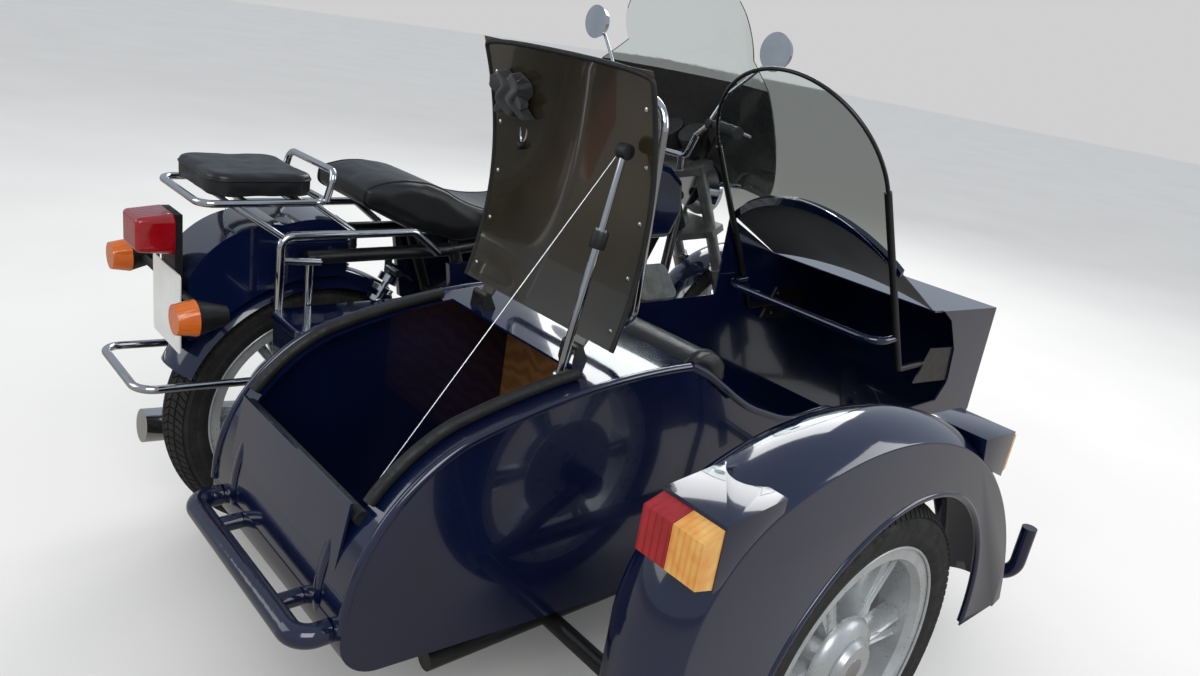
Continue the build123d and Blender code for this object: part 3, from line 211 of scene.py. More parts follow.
def vinyl(name, first, second, rough):
    """Upholstery vinyl: a pebbled grain that catches soft light, drawn coarse enough to show."""
    material, tree, shader, coords = new_material(name)
    tone = two_tone(tree, mottle(tree, coords, 90, 0.0, 1.0), first, second)
    tree.links.new(tone, shader.inputs["Base Color"])
    tree.links.new(mottle(tree, coords, 40, rough * 0.85, rough * 1.2), shader.inputs["Roughness"])
    cells = add(tree, "ShaderNodeTexVoronoi", {"Vector": coords, "Scale": 1 / (pebble_mm * MM)},
                feature="SMOOTH_F1")
    crease = add(tree, "ShaderNodeTexNoise", {"Vector": coords, "Scale": 1 / (crease_mm * MM), "Detail": 3.0})
    folds = relief(tree, crease.outputs["Fac"], 1.0, 0.3)
    grain = relief(tree, cells.outputs["Distance"], 0.25, 0.5, folds)
    tree.links.new(grain, shader.inputs["Normal"])
    return material


# A wave texture runs through a full band in about this share of its scale
threads_a_wave, ribs_a_wave = 6, 6.3


def woven(name, first, second, thread_mm):
    """Coated cloth: a plain weave, drawn coarse enough to show."""
    material, tree, shader, coords = new_material(name)
    wave_scale = 1 / (thread_mm * MM * threads_a_wave)
    warp = add(tree, "ShaderNodeTexWave", {"Vector": coords, "Scale": wave_scale}, bands_direction="Y")
    weft = add(tree, "ShaderNodeTexWave", {"Vector": coords, "Scale": wave_scale}, bands_direction="X")
    cross = add(tree, "ShaderNodeMath", {0: warp.outputs["Fac"], 1: weft.outputs["Fac"]},
                operation="MULTIPLY")
    tone = two_tone(tree, mottle(tree, coords, 60, 0.0, 1.0), first, second)
    tree.links.new(tone, shader.inputs["Base Color"])
    shader.inputs["Roughness"].default_value = 0.6
    shader.inputs["Sheen Weight"].default_value = 0.2
    tree.links.new(relief(tree, cross.outputs["Value"], 0.4, 0.7), shader.inputs["Normal"])
    return material


def lens(name, colour, pale, rib_mm):
    """Moulded lamp lens: clear coloured plastic with upright ribs, a little bleached in clouds."""
    material, tree, shader, coords = new_material(name)
    tone = two_tone(tree, mottle(tree, coords, 35, 0.0, 1.0), colour, pale)
    tree.links.new(tone, shader.inputs["Base Color"])
    shader.inputs["Roughness"].default_value = 0.14
    shader.inputs["Transmission Weight"].default_value = 0.2
    shader.inputs["Coat Weight"].default_value = 0.8
    ribs = add(tree, "ShaderNodeTexWave", {"Vector": coords, "Scale": 1 / (rib_mm * MM * ribs_a_wave)},
               bands_direction="Y", wave_profile="SIN")
    tree.links.new(relief(tree, ribs.outputs["Fac"], 1.2, 0.8), shader.inputs["Normal"])
    return material


def clear(name, colour, rough):
    """Clear acrylic sheet with light haze."""
    material, tree, shader, coords = new_material(name)
    shader.inputs["Base Color"].default_value = colour
    shader.inputs["Transmission Weight"].default_value = 1.0
    shader.inputs["IOR"].default_value = 1.2
    tree.links.new(mottle(tree, coords, 60, rough * 0.6, rough * 1.5), shader.inputs["Roughness"])
    return material


def plank(name, first, second):
    """Plain plywood: long soft grain lines."""
    material, tree, shader, coords = new_material(name)
    lines = add(tree, "ShaderNodeTexWave", {"Vector": coords, "Scale": 1 / (120 * MM), "Distortion": 7.0,
                                            "Detail": 3.0, "Detail Scale": 2.0}, bands_direction="Z")
    tree.links.new(two_tone(tree, lines.outputs["Fac"], first, second), shader.inputs["Base Color"])
    shader.inputs["Roughness"].default_value = 0.6
    tree.links.new(relief(tree, lines.outputs["Fac"], 0.3, 0.4), shader.inputs["Normal"])
    return material


finishes = {}


class OUTFIT_OT_finishes(bpy.types.Operator):
    """Make every finish and give each CAD node the one of its slot in the record"""
    bl_idname = "outfit.finishes"
    bl_label = "Finishes"

    def execute(self, context):
        c = colours()
        finishes.update({
            # Two-pack enamel over steel: deep navy, very glossy, with a little orange peel
            "navy_paint": coated("navy_enamel", c.paint, c.paint_cloud, 0.12, 260, 7, 0.04, coat=1.0),
            # Brushed-on chassis enamel: black with a silky shine
            "frame_black": coated("satin_black_enamel", linear("#0c0c0d"), linear("#161617"),
                                  0.34, 60, 2, 0.05, coat=0.2),
            # Sand-cast light alloy left bare: dull grey with a pitted skin
            "engine_alloy": coated("sand_cast_alloy", linear("#8f908d"), linear("#aaaaa6"),
                                   0.42, 40, 1.2, 0.18, metallic=0.9),
            # Silver lacquer on cast wheels: bright, slightly grainy
            "wheel_silver": coated("silver_lacquer", linear("#a9acad"), linear("#bcbfc0"), 0.3, 50, 1.5, 0.04,
                                   metallic=0.5, coat=0.3),
            # Chrome plate on steel tube: mirror bright
            "chrome": coated("chrome_plate", linear("#d6d8d9"), linear("#c6c8ca"),
                             0.08, 80, 3, 0.01, metallic=1.0),
            # Vulcanised tyre rubber, grey with road dust
            "tyre_rubber": coated("tyre_rubber", linear("#161616"), linear("#242321"), 0.78, 45, 1.0, 0.12),
            # Moulded rubber of edgings and seals: dull black
            "black_rubber": coated("moulded_rubber", linear("#0e0e0e"), linear("#191919"),
                                   0.55, 30, 1.4, 0.08),
            # Calendered vinyl over foam: black with a soft sheen on its pebbles
            "black_vinyl": vinyl("upholstery_vinyl", c.vinyl, c.vinyl_cloud, 0.36),
            # Injection-moulded black plastic with a spark-eroded grain
            "black_plastic": coated("grained_plastic", linear("#0e0e0f"), linear("#171718"),
                                    0.46, 40, 0.9, 0.06),
            # Moulded lamp plastics: deep colour under a polished face with ribs behind it
            "red_lens": lens("red_lamp_plastic", c.red, linear("#a3101c"), 6),
            "amber_lens": lens("amber_lamp_plastic", c.amber, linear("#e0720f"), 5),
            # The same amber after years in the sun: pale and yellowish
            "straw_lens": lens("bleached_amber_plastic", c.straw, linear("#e9bb6a"), 5),
            # Cast acrylic sheet: clear with a trace of haze from wiping
            "clear_sheet": clear("clear_acrylic", linear("#e8efee"), 0.03),
            # Woven cloth with a plastic coating: dull black with a fine weave
            "cowl_cloth": woven("coated_cowl_cloth", c.cowl, c.cowl_cloud, 1.4),
            # Air-dried black enamel inside the lid, its colour tinted brown as a painted reflection of the
            # ground
            "lid_black": coated("lid_enamel_painted_reflection", linear("#2b2517"), linear("#1d190f"),
                                0.2, 240, 5, 0.05, coat=0.8),
            # Bare plywood: warm brown with soft grain lines
            "plywood": plank("plain_plywood", linear("#a8733f"), linear("#8a5a2c")),
            # Stove enamel of the blank plate: matt white
            "plate_white": coated("plate_enamel", linear("#d8d8d4"), linear("#cfcfca"), 0.35, 60, 2, 0.02),
        })
        slot_of = {row["node"]: row["material_slot"] for row in frame["record"]["subparts"]}
        for name, node in frame["nodes"].items():
            finish = "straw_lens" if name == "marker_lamps" else slot_of[name]
            node.data.materials.clear()
            node.data.materials.append(finishes[finish])
        return {"FINISHED"}


# Making by hand

def solo(piece):
    """Select one object alone and make it active."""
    bpy.ops.object.select_all(action="DESELECT")
    piece.hide_set(False)
    piece.select_set(True)
    bpy.context.view_layer.objects.active = piece


def edit(piece, choose=None, kind="FACE"):
    """Enter edit mode with only the chosen faces or edges selected, or with all."""
    solo(piece)
    bpy.ops.object.mode_set(mode="EDIT")
    bpy.ops.mesh.select_mode(type=kind)
    bpy.ops.mesh.select_all(action="SELECT" if choose is None else "DESELECT")
    if choose is None:
        return
    bpy.ops.object.mode_set(mode="OBJECT")
    mesh = piece.data
    if kind == "FACE":
        for face in mesh.polygons:
            face.select = choose(face.center, face.normal)
    else:
        for item in mesh.edges:
            a, b = (mesh.vertices[i].co for i in item.vertices)
            item.select = choose((a + b) / 2, (b - a).normalized())
    bpy.ops.object.mode_set(mode="EDIT")


def done():
    """Leave edit mode."""
    bpy.ops.object.mode_set(mode="OBJECT")


def outward(piece):
    """Turn a closed piece's faces outwards."""
    edit(piece)
    bpy.ops.mesh.normals_make_consistent(inside=False)
    done()


def settle(piece, name, finish, body, smooth=30.0):
    """Name a finished piece, put its place in its mesh, and give it finish, slot and body."""
    solo(piece)
    bpy.ops.object.transform_apply(location=True, rotation=True, scale=True)
    bpy.ops.object.shade_smooth_by_angle(angle=math.radians(smooth))
    piece.name = name
    piece.data.name = name
    piece.data.materials.clear()
    piece.data.materials.append(finishes[finish])
    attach(piece, body)
    return piece


def apply(piece, kind, **settings):
    """Add a modifier with its settings and apply it."""
    solo(piece)
    modifier = piece.modifiers.new(kind.lower(), kind)
    for key, value in settings.items():
        setattr(modifier, key, value)
    bpy.ops.object.modifier_apply(modifier=modifier.name)


def join(pieces):
    """Join meshes into the first."""
    solo(pieces[0])
    for piece in pieces[1:]:
        piece.select_set(True)
    bpy.ops.object.join()
    return pieces[0]


def rod(start, end, radius, sides=16):
    """A round rod with softened ends from start to end."""
    way = end - start
    bpy.ops.object.select_all(action="DESELECT")
    bpy.ops.mesh.primitive_cylinder_add(vertices=sides, radius=radius, depth=way.length,
                                        location=(start + end) / 2,
                                        rotation=way.to_track_quat("Z", "Y").to_euler())
    piece = bpy.context.active_object
    bpy.ops.object.transform_apply(location=True, rotation=True, scale=True)
    apply(piece, "BEVEL", width=radius * 0.2, segments=2, limit_method="ANGLE")
    return piece


# Degrees of a dome's rings, and the share of its height that is an upright wall
dome_turns = (0.0, 25.0, 50.0, 75.0)
dome_wall = 0.2


def domed(radius, height, sides):
    """A domed head that stands on the origin: a disc drawn up in narrowing rings."""
    bpy.ops.object.select_all(action="DESELECT")
    bpy.ops.mesh.primitive_circle_add(vertices=sides, radius=radius, fill_type="NGON")
    head = bpy.context.active_object
    edit(head)
    was_wide, was_high = 1.0, 0.0
    for turn in dome_turns:
        angle = math.radians(turn)
        wide, high = math.cos(angle), dome_wall + (1 - dome_wall) * math.sin(angle)
        bpy.ops.mesh.extrude_region_move(TRANSFORM_OT_translate={"value": (0, 0, (high - was_high) * height)})
        scale = wide / was_wide
        bpy.ops.transform.resize(value=(scale, scale, 1), center_override=(0, 0, high * height))
        was_wide, was_high = wide, high
    done()
    outward(head)
    return head


def scatter(head, spots):
    """Copies of a head at places, each turned to face its own way, as one piece."""
    copies = []
    for spot, way in spots:
        piece = bpy.data.objects.new("head", head.data.copy())
        bpy.context.scene.collection.objects.link(piece)
        turn = Vector(way).to_track_quat("Z", "Y").to_matrix().to_4x4()
        piece.matrix_world = Matrix.Translation(spot) @ turn
        copies.append(piece)
    bpy.data.objects.remove(head)
    bpy.context.view_layer.update()
    return join(copies)


def tube(points, radius, cyclic=False, order=3):
    """A smooth tube through a route's points."""
    curve = bpy.data.curves.new("route", "CURVE")
    curve.dimensions = "3D"
    spline = curve.splines.new("NURBS")
    spline.points.add(len(points) - 1)
    for point, spot in zip(points, spline.points):
        spot.co = (*point, 1.0)
    spline.order_u = order
    spline.use_cyclic_u = cyclic
    spline.use_endpoint_u = not cyclic
    curve.resolution_u = 6
    curve.bevel_depth = radius
    curve.bevel_resolution = 3
    curve.use_fill_caps = True
    piece = bpy.data.objects.new("route", curve)
    bpy.context.scene.collection.objects.link(piece)
    solo(piece)
    bpy.ops.object.convert(target="MESH")
    return bpy.context.active_object


weld = 0.02 * MM


def copy_of(node):
    """A merged copy of a CAD node's mesh, as a start for a piece that replaces it."""
    mesh = frame["nodes"][node].data.copy()
    piece = bpy.data.objects.new(node + "_copy", mesh)
    bpy.context.scene.collection.objects.link(piece)
    edit(piece, kind="VERT")
    bpy.ops.mesh.remove_doubles(threshold=weld)
    done()
    return piece


def points_of(piece):
    """The vertices of a mesh as an array."""
    array = np.empty(len(piece.data.vertices) * 3)
    piece.data.vertices.foreach_get("co", array)
    return array.reshape(-1, 3)


def set_points(piece, array):
    """Put the vertices of a mesh where an array says."""
    piece.data.vertices.foreach_set("co", array.ravel())
    piece.data.update()


# Tyres

tyres = {
    # node: body, blocks round the tread
    "rear_tyre": ("rear_wheel", 110),
    "front_tyre": ("front_wheel", 108),
    "sidecar_tyre": ("sidecar_wheel", 110),
}
tread_cuts = (-36 * MM, -19 * MM, 0.0, 19 * MM, 36 * MM)
# side wall: share of the way from tread to rim, share of the half width
wall = ((0.12, 1.0), (0.2, 0.985), (0.45, 1.0), (0.5, 0.985), (0.55, 1.0), (0.8, 0.97), (1.0, 0.86))
side_gap, shoulder_width = 0.4 * MM, 5 * MM
shoulder_drop, shoulder_curve = 22 * MM, 2.2
bead_seat = 249 * MM
groove_half, groove_floor = 1.7 * MM, 0.6 * MM


class OUTFIT_OT_tyres(bpy.types.Operator):
    """Model the tyres with tread blocks in a shallow arrow pattern, round shoulders and ribbed side walls"""
    bl_idname = "outfit.tyres"
    bl_label = "Tyres"

    def execute(self, context):
        for node, (body, rows) in tyres.items():
            self.make(node, body, rows, sizes().tread)
        return {"FINISHED"}

    def make(self, node, body, rows, tread):
        low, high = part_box(node)
        centre = (low + high) / 2
        radius = (high.z - low.z) / 2
        half = (high.y - low.y) / 2 - side_gap
        tread_half = half - shoulder_width
        crown = radius - tread
        bpy.ops.object.select_all(action="DESELECT")
        bpy.ops.mesh.primitive_cylinder_add(vertices=rows, radius=crown, depth=2 * tread_half,
                                            end_fill_type="NOTHING", location=centre,
                                            rotation=(math.radians(90), 0, 0))
        tyre = bpy.context.active_object
        bpy.ops.object.transform_apply(location=True, rotation=True, scale=True)
        for cut in tread_cuts:
            edit(tyre)
            bpy.ops.mesh.bisect(plane_co=centre + Vector((0, cut, 0)), plane_no=(0, 1, 0))
            done()
        spots = points_of(tyre)
        across = spots[:, 1] - centre.y
        drop = shoulder_drop * (np.abs(across) / tread_half) ** shoulder_curve
        twist = math.pi / rows * np.cos(across / tread_half * math.pi * 2)
        ray = spots[:, [0, 2]] - np.array([centre.x, centre.z])
        angle = np.arctan2(ray[:, 1], ray[:, 0]) + twist
        reach = np.linalg.norm(ray, axis=1) - drop
        spots[:, 0] = centre.x + reach * np.cos(angle)
        spots[:, 2] = centre.z + reach * np.sin(angle)
        set_points(tyre, spots)
        edge_radius = crown - shoulder_drop
        for hand in (1, -1):
            edge_y = centre.y + hand * tread_half
            edit(tyre, lambda spot, _: abs(spot.y - edge_y) < 0.5 * MM, "EDGE")
            now_radius, now_y = edge_radius, edge_y
            for share, out in wall:
                bpy.ops.mesh.extrude_region_move()
                next_radius = edge_radius + (bead_seat - edge_radius) * share
                next_y = centre.y + hand * half * out
                scale = next_radius / now_radius
                bpy.ops.transform.resize(value=(scale, 1, scale),
                                         center_override=(centre.x, now_y, centre.z))
                bpy.ops.transform.translate(value=(0, next_y - now_y, 0))
                now_radius, now_y = next_radius, next_y
            done()
        outward(tyre)
        middle = tuple(centre)
        edit(tyre, lambda spot, _: math.hypot(spot.x - middle[0], spot.z - middle[2]) > edge_radius - 1 * MM
             and abs(spot.y - middle[1]) < tread_half)
        bpy.ops.mesh.inset(thickness=groove_half, depth=0, use_individual=True)
        rise = {"value": tread - groove_floor}
        bpy.ops.mesh.extrude_region_shrink_fatten(TRANSFORM_OT_shrink_fatten=rise)
        done()
        settle(tyre, node + "_tread", "tyre_rubber", body, 35)
        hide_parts(node)


# Wheels

wheels = {
    # name: centre in mm, body, sides that carry a hub cap
    "rear": ((0, 0, 330), "rear_wheel", ()),
    "front": ((1565, 0, 322), "front_wheel", (-1, 1)),
    "sidecar": ((406, -1332, 330), "sidecar_wheel", (-1,)),
}
spoke_from, spoke_to = 60.0, 225.0
spoke_across, spoke_deep = 21.0, 38.0
channel_wall, channel_depth, channel_edge = 4.5, 7.0, 1.6
pair_lean, pair_apart, spoke_middle = 7.0, 9.0, 142.0
pairs = 6
ring_sides = 48
lips = (
    # radius, distance in from the rim's side, radius of the ring's own section
    (246.0, 2.5, 3.0),
    (224.0, 12.0, 4.0),
)
hub_shell_out = 16
dome_out = {"front": 45, "sidecar": 50}
bolts, bolt_circle = 5, 39


class OUTFIT_OT_wheels(bpy.types.Operator):
    """Model the cast wheels' channelled spokes, rolled lips and hub caps with their bolts"""
    bl_idname = "outfit.wheels"
    bl_label = "Cast wheels"

    def execute(self, context):
        for name, (centre, body, hands) in wheels.items():
            low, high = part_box(name + "_rim")
            half = (high.y - low.y) / 2 / MM
            self.spokes(name, centre, body)
            self.lips(name, centre, body, half)
            if hands:
                self.caps(name, centre, body, hands)
        return {"FINISHED"}

    def channel(self):
        """One spoke along X through the origin, hollowed on both faces and with soft edges."""
        bpy.ops.object.select_all(action="DESELECT")
        bpy.ops.mesh.primitive_cube_add(size=1, scale=((spoke_to - spoke_from) * MM, spoke_deep * MM,
                                                       spoke_across * MM))
        spoke = bpy.context.active_object
        bpy.ops.object.transform_apply(location=True, rotation=True, scale=True)
        edit(spoke, lambda spot, normal: abs(normal.y) > 0.9)
        bpy.ops.mesh.inset(thickness=channel_wall * MM, depth=-channel_depth * MM, use_individual=True)
        done()
        apply(spoke, "BEVEL", width=channel_edge * MM, segments=2, limit_method="ANGLE")
        return spoke

    def spokes(self, name, centre, body):
        """Pairs of channelled spokes that part towards the rim."""
        start = self.channel()
        copies = []
        for index in range(pairs):
            for hand in (1, -1):
                piece = bpy.data.objects.new("spoke", start.data.copy())
                bpy.context.scene.collection.objects.link(piece)
                lean = Matrix.Rotation(-math.radians(pair_lean * hand), 4, "Y")
                out = Matrix.Translation(Vector((spoke_middle, 0, pair_apart * hand)) * MM)
                turn = Matrix.Rotation(-2 * math.pi * index / pairs, 4, "Y")
                piece.matrix_world = Matrix.Translation(place(*centre)) @ turn @ out @ lean
                copies.append(piece)
        bpy.data.objects.remove(start)
        bpy.context.view_layer.update()
        settle(join(copies), name + "_spoke_channels", "wheel_silver", body)

    def lips(self, name, centre, body, half):
        """Rolled rings on both sides of the rim."""
        rings = []
        x, y, z = centre
        turns = [2 * math.pi * index / ring_sides for index in range(ring_sides)]
        for radius, inward, thick in lips:
            for hand in (1, -1):
                ring = [place(x + radius * math.cos(t), y + hand * (half - inward), z + radius * math.sin(t))
                        for t in turns]
                rings.append(tube(ring, thick * MM, cyclic=True))
        settle(join(rings), name + "_rim_lips", "wheel_silver", body, 60)

    def caps(self, name, centre, body, hands):
        """The sidecar wheel's smooth hub shell, and bright domes with a ring of bolts."""
        x, y, z = centre
        if name == "sidecar":
            shell = domed(90 * MM, 34 * MM, 48)
            spots = [(place(x, y + hand * hub_shell_out, z), (0, hand, 0)) for hand in hands]
            settle(scatter(shell, spots), name + "_hub_shell", "wheel_silver", body, 40)
        bright = [(place(x, y + hand * dome_out[name], z), (0, hand, 0)) for hand in hands]
        domes = scatter(domed(27 * MM, 9 * MM, 32), bright)
        ring = []
        for spot, way in bright:
            for turn in range(bolts):
                angle = 2 * math.pi * turn / bolts
                ring.append((spot + Vector((math.cos(angle), 0, math.sin(angle))) * bolt_circle * MM, way))
        heads = scatter(domed(6 * MM, 4 * MM, 8), ring)
        settle(join([domes, heads]), name + "_hub_dome", "chrome", body, 40)


# Seats

cushions = {
    # node: shrink mm, pressure, cap mm, rounds of smoothing
    "dual_seat": (3.0, 3.0, 4.0, 14),
    "pillion_pad": (3.0, 3.0, 4.0, 10),
    "seat_cushion": (8.0, 6.0, 14.0, 8),
    "backrest": (7.0, 6.0, 12.0, 8),
}
# Piping: distance to both sides of the middle, and radius, in mm
seat_piping, back_piping = (118, 3.0), (222, 4.0)
pad_seam_drop, pad_seam_radius = 14 * MM, 2.6 * MM
cloth_frames = 20


class OUTFIT_OT_seats(bpy.types.Operator):
    """Blow up the seats and cushions like stuffed upholstery, and sew their piping"""
    bl_idname = "outfit.seats"
    bl_label = "Seats"

    def execute(self, context):
        seat = self.cushion("dual_seat")
        self.sides(seat, *seat_piping)
        pad = self.cushion("pillion_pad")
        low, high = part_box("pillion_pad")
        seam = self.piping(pad, Vector((0, 0, high.z - pad_seam_drop)), (0, 0, 1), pad_seam_radius)
        settle(seam, "pillion_pad_seam", "black_vinyl", "root", 60)
        back = self.cushion("backrest")
        self.sides(back, *back_piping)
        self.cushion("seat_cushion")
        return {"FINISHED"}

    def cushion(self, node):
        """Upholstery over foam, swollen between its seams."""
        shrink, pressure, cap, rounds = cushions[node]
        low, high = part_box(node)
        piece = copy_of(node)
        self.swell(piece, shrink * MM, pressure, cap * MM, rounds, low, high)
        settle(piece, node + "_cover", "black_vinyl", "root", 60)
        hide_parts(node)
        return piece

    def swell(self, piece, shrink, pressure, cap, rounds, low, high):
        """Blow a closed form up, within a cap and a box, and let the foam round it off."""
        solo(piece)
        piece.data.remesh_voxel_size = sizes().voxel
        bpy.ops.object.voxel_remesh()
        edit(piece, kind="VERT")
        bpy.ops.transform.shrink_fatten(value=-shrink)
        done()
        before = points_of(piece)
        cloth = piece.modifiers.new("cloth", "CLOTH")
        cloth.settings.quality = 4
        cloth.settings.mass = 0.3
        cloth.settings.tension_stiffness = 12
        cloth.settings.compression_stiffness = 12
        cloth.settings.bending_stiffness = 0.6
        cloth.settings.use_pressure = True
        cloth.settings.uniform_pressure_force = pressure
        cloth.settings.effector_weights.gravity = 0
        cloth.collision_settings.use_collision = False
        scene = bpy.context.scene
        for step in range(1, cloth_frames + 1):
            scene.frame_set(step)
        posed = piece.evaluated_get(bpy.context.evaluated_depsgraph_get())
        after = np.empty(len(piece.data.vertices) * 3)
        posed.data.vertices.foreach_get("co", after)
        after = after.reshape(-1, 3)
        solo(piece)
        bpy.ops.object.modifier_apply(modifier="cloth")
        scene.frame_set(1)
        move = after - before
        length = np.linalg.norm(move, axis=1, keepdims=True)
        set_points(piece, before + move * np.minimum(1.0, cap / np.maximum(length, 1e-9)))
        apply(piece, "SMOOTH", factor=0.5, iterations=rounds)
        set_points(piece, np.clip(points_of(piece), np.array(low), np.array(high)))
        apply(piece, "SUBSURF", levels=1, render_levels=1)

    def sides(self, cushion, offset_mm, radius_mm):
        """Piping on both sides of a cushion, at a distance from its middle."""
        middle = sum((Vector(c) for c in cushion.bound_box), Vector()) / 8
        runs = [self.piping(cushion, middle + Vector((0, hand * offset_mm * MM, 0)), (0, 1, 0), radius_mm * MM)
                for hand in (-1, 1)]
        settle(join(runs), cushion.name + "_piping", "black_vinyl", "root", 60)

    def piping(self, source, point, normal, radius):
        """Sewn piping that runs on a finished cushion where a plane cuts it."""
        piece = bpy.data.objects.new("piping", source.data.copy())
        bpy.context.scene.collection.objects.link(piece)
        edit(piece, kind="VERT")
        bpy.ops.mesh.bisect(plane_co=point, plane_no=normal, use_fill=False, clear_inner=True,
                            clear_outer=True)
        done()
        solo(piece)
        bpy.ops.object.convert(target="CURVE")
        piece = bpy.context.active_object
        piece.data.bevel_depth = radius
        piece.data.bevel_resolution = 2
        bpy.ops.object.convert(target="MESH")
        return bpy.context.active_object


# Arcs

def circle_through(a, b, c):
    """Centre and radius of the circle through three places in a plane."""
    (ax, ay), (bx, by), (cx, cy) = a, b, c
    twice = 2 * (ax * (by - cy) + bx * (cy - ay) + cx * (ay - by))
    aa, bb, cc = ax * ax + ay * ay, bx * bx + by * by, cx * cx + cy * cy
    middle = ((aa * (by - cy) + bb * (cy - ay) + cc * (ay - by)) / twice,
              (aa * (cx - bx) + bb * (ax - cx) + cc * (bx - ax)) / twice)
    return middle, math.dist(a, middle)


def arc(a, b, c, count):
    """Places along the arc from a through b to c."""
    middle, radius = circle_through(a, b, c)
    start, via, end = (math.atan2(p[1] - middle[1], p[0] - middle[0]) for p in (a, b, c))
    sweep = (end - start) % (2 * math.pi)
    if (via - start) % (2 * math.pi) > sweep:
        sweep -= 2 * math.pi
    turns = [start + sweep * i / (count - 1) for i in range(count)]
    return [(middle[0] + radius * math.cos(t), middle[1] + radius * math.sin(t)) for t in turns]


# Cowl

screen_lean = math.radians(30.7)
screen_foot = (1208.0, 610.0)
cover_half = 266.0
body_mid_mm = -657.5
cowl_rows, cowl_columns = 14, 25
cowl_rear = ((-cover_half, 306), (0, 430), (cover_half, 306))
cowl_front = ((-cover_half, 769), (0, 796), (cover_half, 769))
cowl_front_x, cowl_rear_out = 1286, 23
arc_half = 100               # places on each half of the cowl's arcs
cowl_sag, cowl_thick = 16 * MM, 1.4 * MM
stud_start, stud_run = 14, 190
stud_down, stud_out = 4, 24.5


def screen_place(up, out, y):
    """A place on the windscreen's plane, up it and out from it in mm."""
    x = screen_foot[0] - up * math.sin(screen_lean) + out * math.cos(screen_lean)
    z = screen_foot[1] + up * math.cos(screen_lean) + out * math.sin(screen_lean)
    return place(x, body_mid_mm + y, z)


class OUTFIT_OT_cowl(bpy.types.Operator):
    """Stretch the cloth over the cockpit's front from its hoop to the nose, with snap studs"""
    bl_idname = "outfit.cowl"
    bl_label = "Cowl cloth"

    def execute(self, context):
        bpy.ops.object.select_all(action="DESELECT")
        bpy.ops.mesh.primitive_grid_add(x_subdivisions=cowl_rows - 1, y_subdivisions=cowl_columns - 1, size=1)
        cloth = bpy.context.active_object
        rear = arc(*cowl_rear, 2 * arc_half + 1)
        front = arc(*cowl_front, 2 * arc_half + 1)
        spots = points_of(cloth)
        for spot in spots:
            along, share = spot[0] + 0.5, spot[1] * 2
            index = round((share + 1) * arc_half)
            high = screen_place(rear[index][1], cowl_rear_out, rear[index][0])
            low = place(cowl_front_x, body_mid_mm + front[index][0], front[index][1])
            ripple = sizes().ripple * math.sin(share * 9 + along * 3) * along * (1 - along)
            sag = cowl_sag * math.sin(math.pi * along) * (1 - share * share)
            spot[:] = high.lerp(low, along) - Vector((0, 0, sag + ripple))
        set_points(cloth, spots)
        apply(cloth, "SOLIDIFY", thickness=cowl_thick, offset=-1.0)
        outward(cloth)
        settle(cloth, "cowl_cloth_sheet", "cowl_cloth", "root", 50)
        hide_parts("cowl_cover")
        way = (math.cos(screen_lean), 0, math.sin(screen_lean))
        studs = [(screen_place(rear[index][1] - stud_down, stud_out, rear[index][0]), way)
                 for index in range(stud_start, 2 * arc_half, stud_run // sizes().studs)]
        settle(scatter(domed(6 * MM, 3.5 * MM, 12), studs), "cowl_snap_studs", "chrome", "root")
        return {"FINISHED"}


# Body

body_left_mm, body_right_mm = -385.0, -930.0
tail_side = ((-352, 400), (-290, 583), (-150, 690))
deck_side = ((-150, 690), (80, 738), (351, 748))
entry_side = ((351, 748), (400, 726), (458, 689), (538, 636), (590, 610), (638, 592), (690, 572), (743, 559),
              (800, 558), (860, 562), (900, 556), (925, 536), (950, 510), (965, 486))
strap_places = (-478, -838)
strap_foot = ((-290, 298), (-322, 312), (-344, 345))
strap_top = 556
plate_sides = ((-922, 1), (-393, -1))
plate_screws = ((1316, 612), (1350, 636), (1362, 596), (1336, 574))


class OUTFIT_OT_body(bpy.types.Operator):
    """Roll the beads along the body's edges, strap its rear panel and screw down the posts' plates"""
    bl_idname = "outfit.body"
    bl_label = "Body trim"

    def execute(self, context):
        bead = sizes().bead
        beads = []
        outline = arc(*tail_side, 14) + arc(*deck_side, 14)[1:]
        for y in (body_right_mm + 3, body_left_mm - 3):
            beads.append(tube([place(x, y, z - 3) for x, z in outline], bead))
        beads.append(tube([place(x, body_right_mm + 2.5, z) for x, z in entry_side], bead + 1 * MM))
        settle(join(beads), "body_beads", "navy_paint", "root", 60)

        straps = []
        route = list(strap_foot) + [(x - 1, z) for x, z in arc(*tail_side, 40) if z < strap_top]
        for y in strap_places:
            strap = tube([place(x, y, z) for x, z in route], 5 * MM)
            edit(strap)
            bpy.ops.transform.resize(value=(1, 2.2, 1), center_override=place(0, y, 0))
            done()
            straps.append(strap)
        settle(join(straps), "rear_panel_straps", "navy_paint", "root", 60)

        spots = [(place(x, y, z), (0, out, 0)) for y, out in plate_sides for x, z in plate_screws]
        settle(scatter(domed(6 * MM, 3 * MM, 12), spots), "post_plate_screws", "chrome", "root")
        return {"FINISHED"}


# Sidecar mudguard

arch = ((78.5, 420), (430, 684), (795.6, 300))
arch_side, arch_roll = -1401, 7 * MM
flat_angle, fold_angle = math.radians(1.5), math.radians(35)


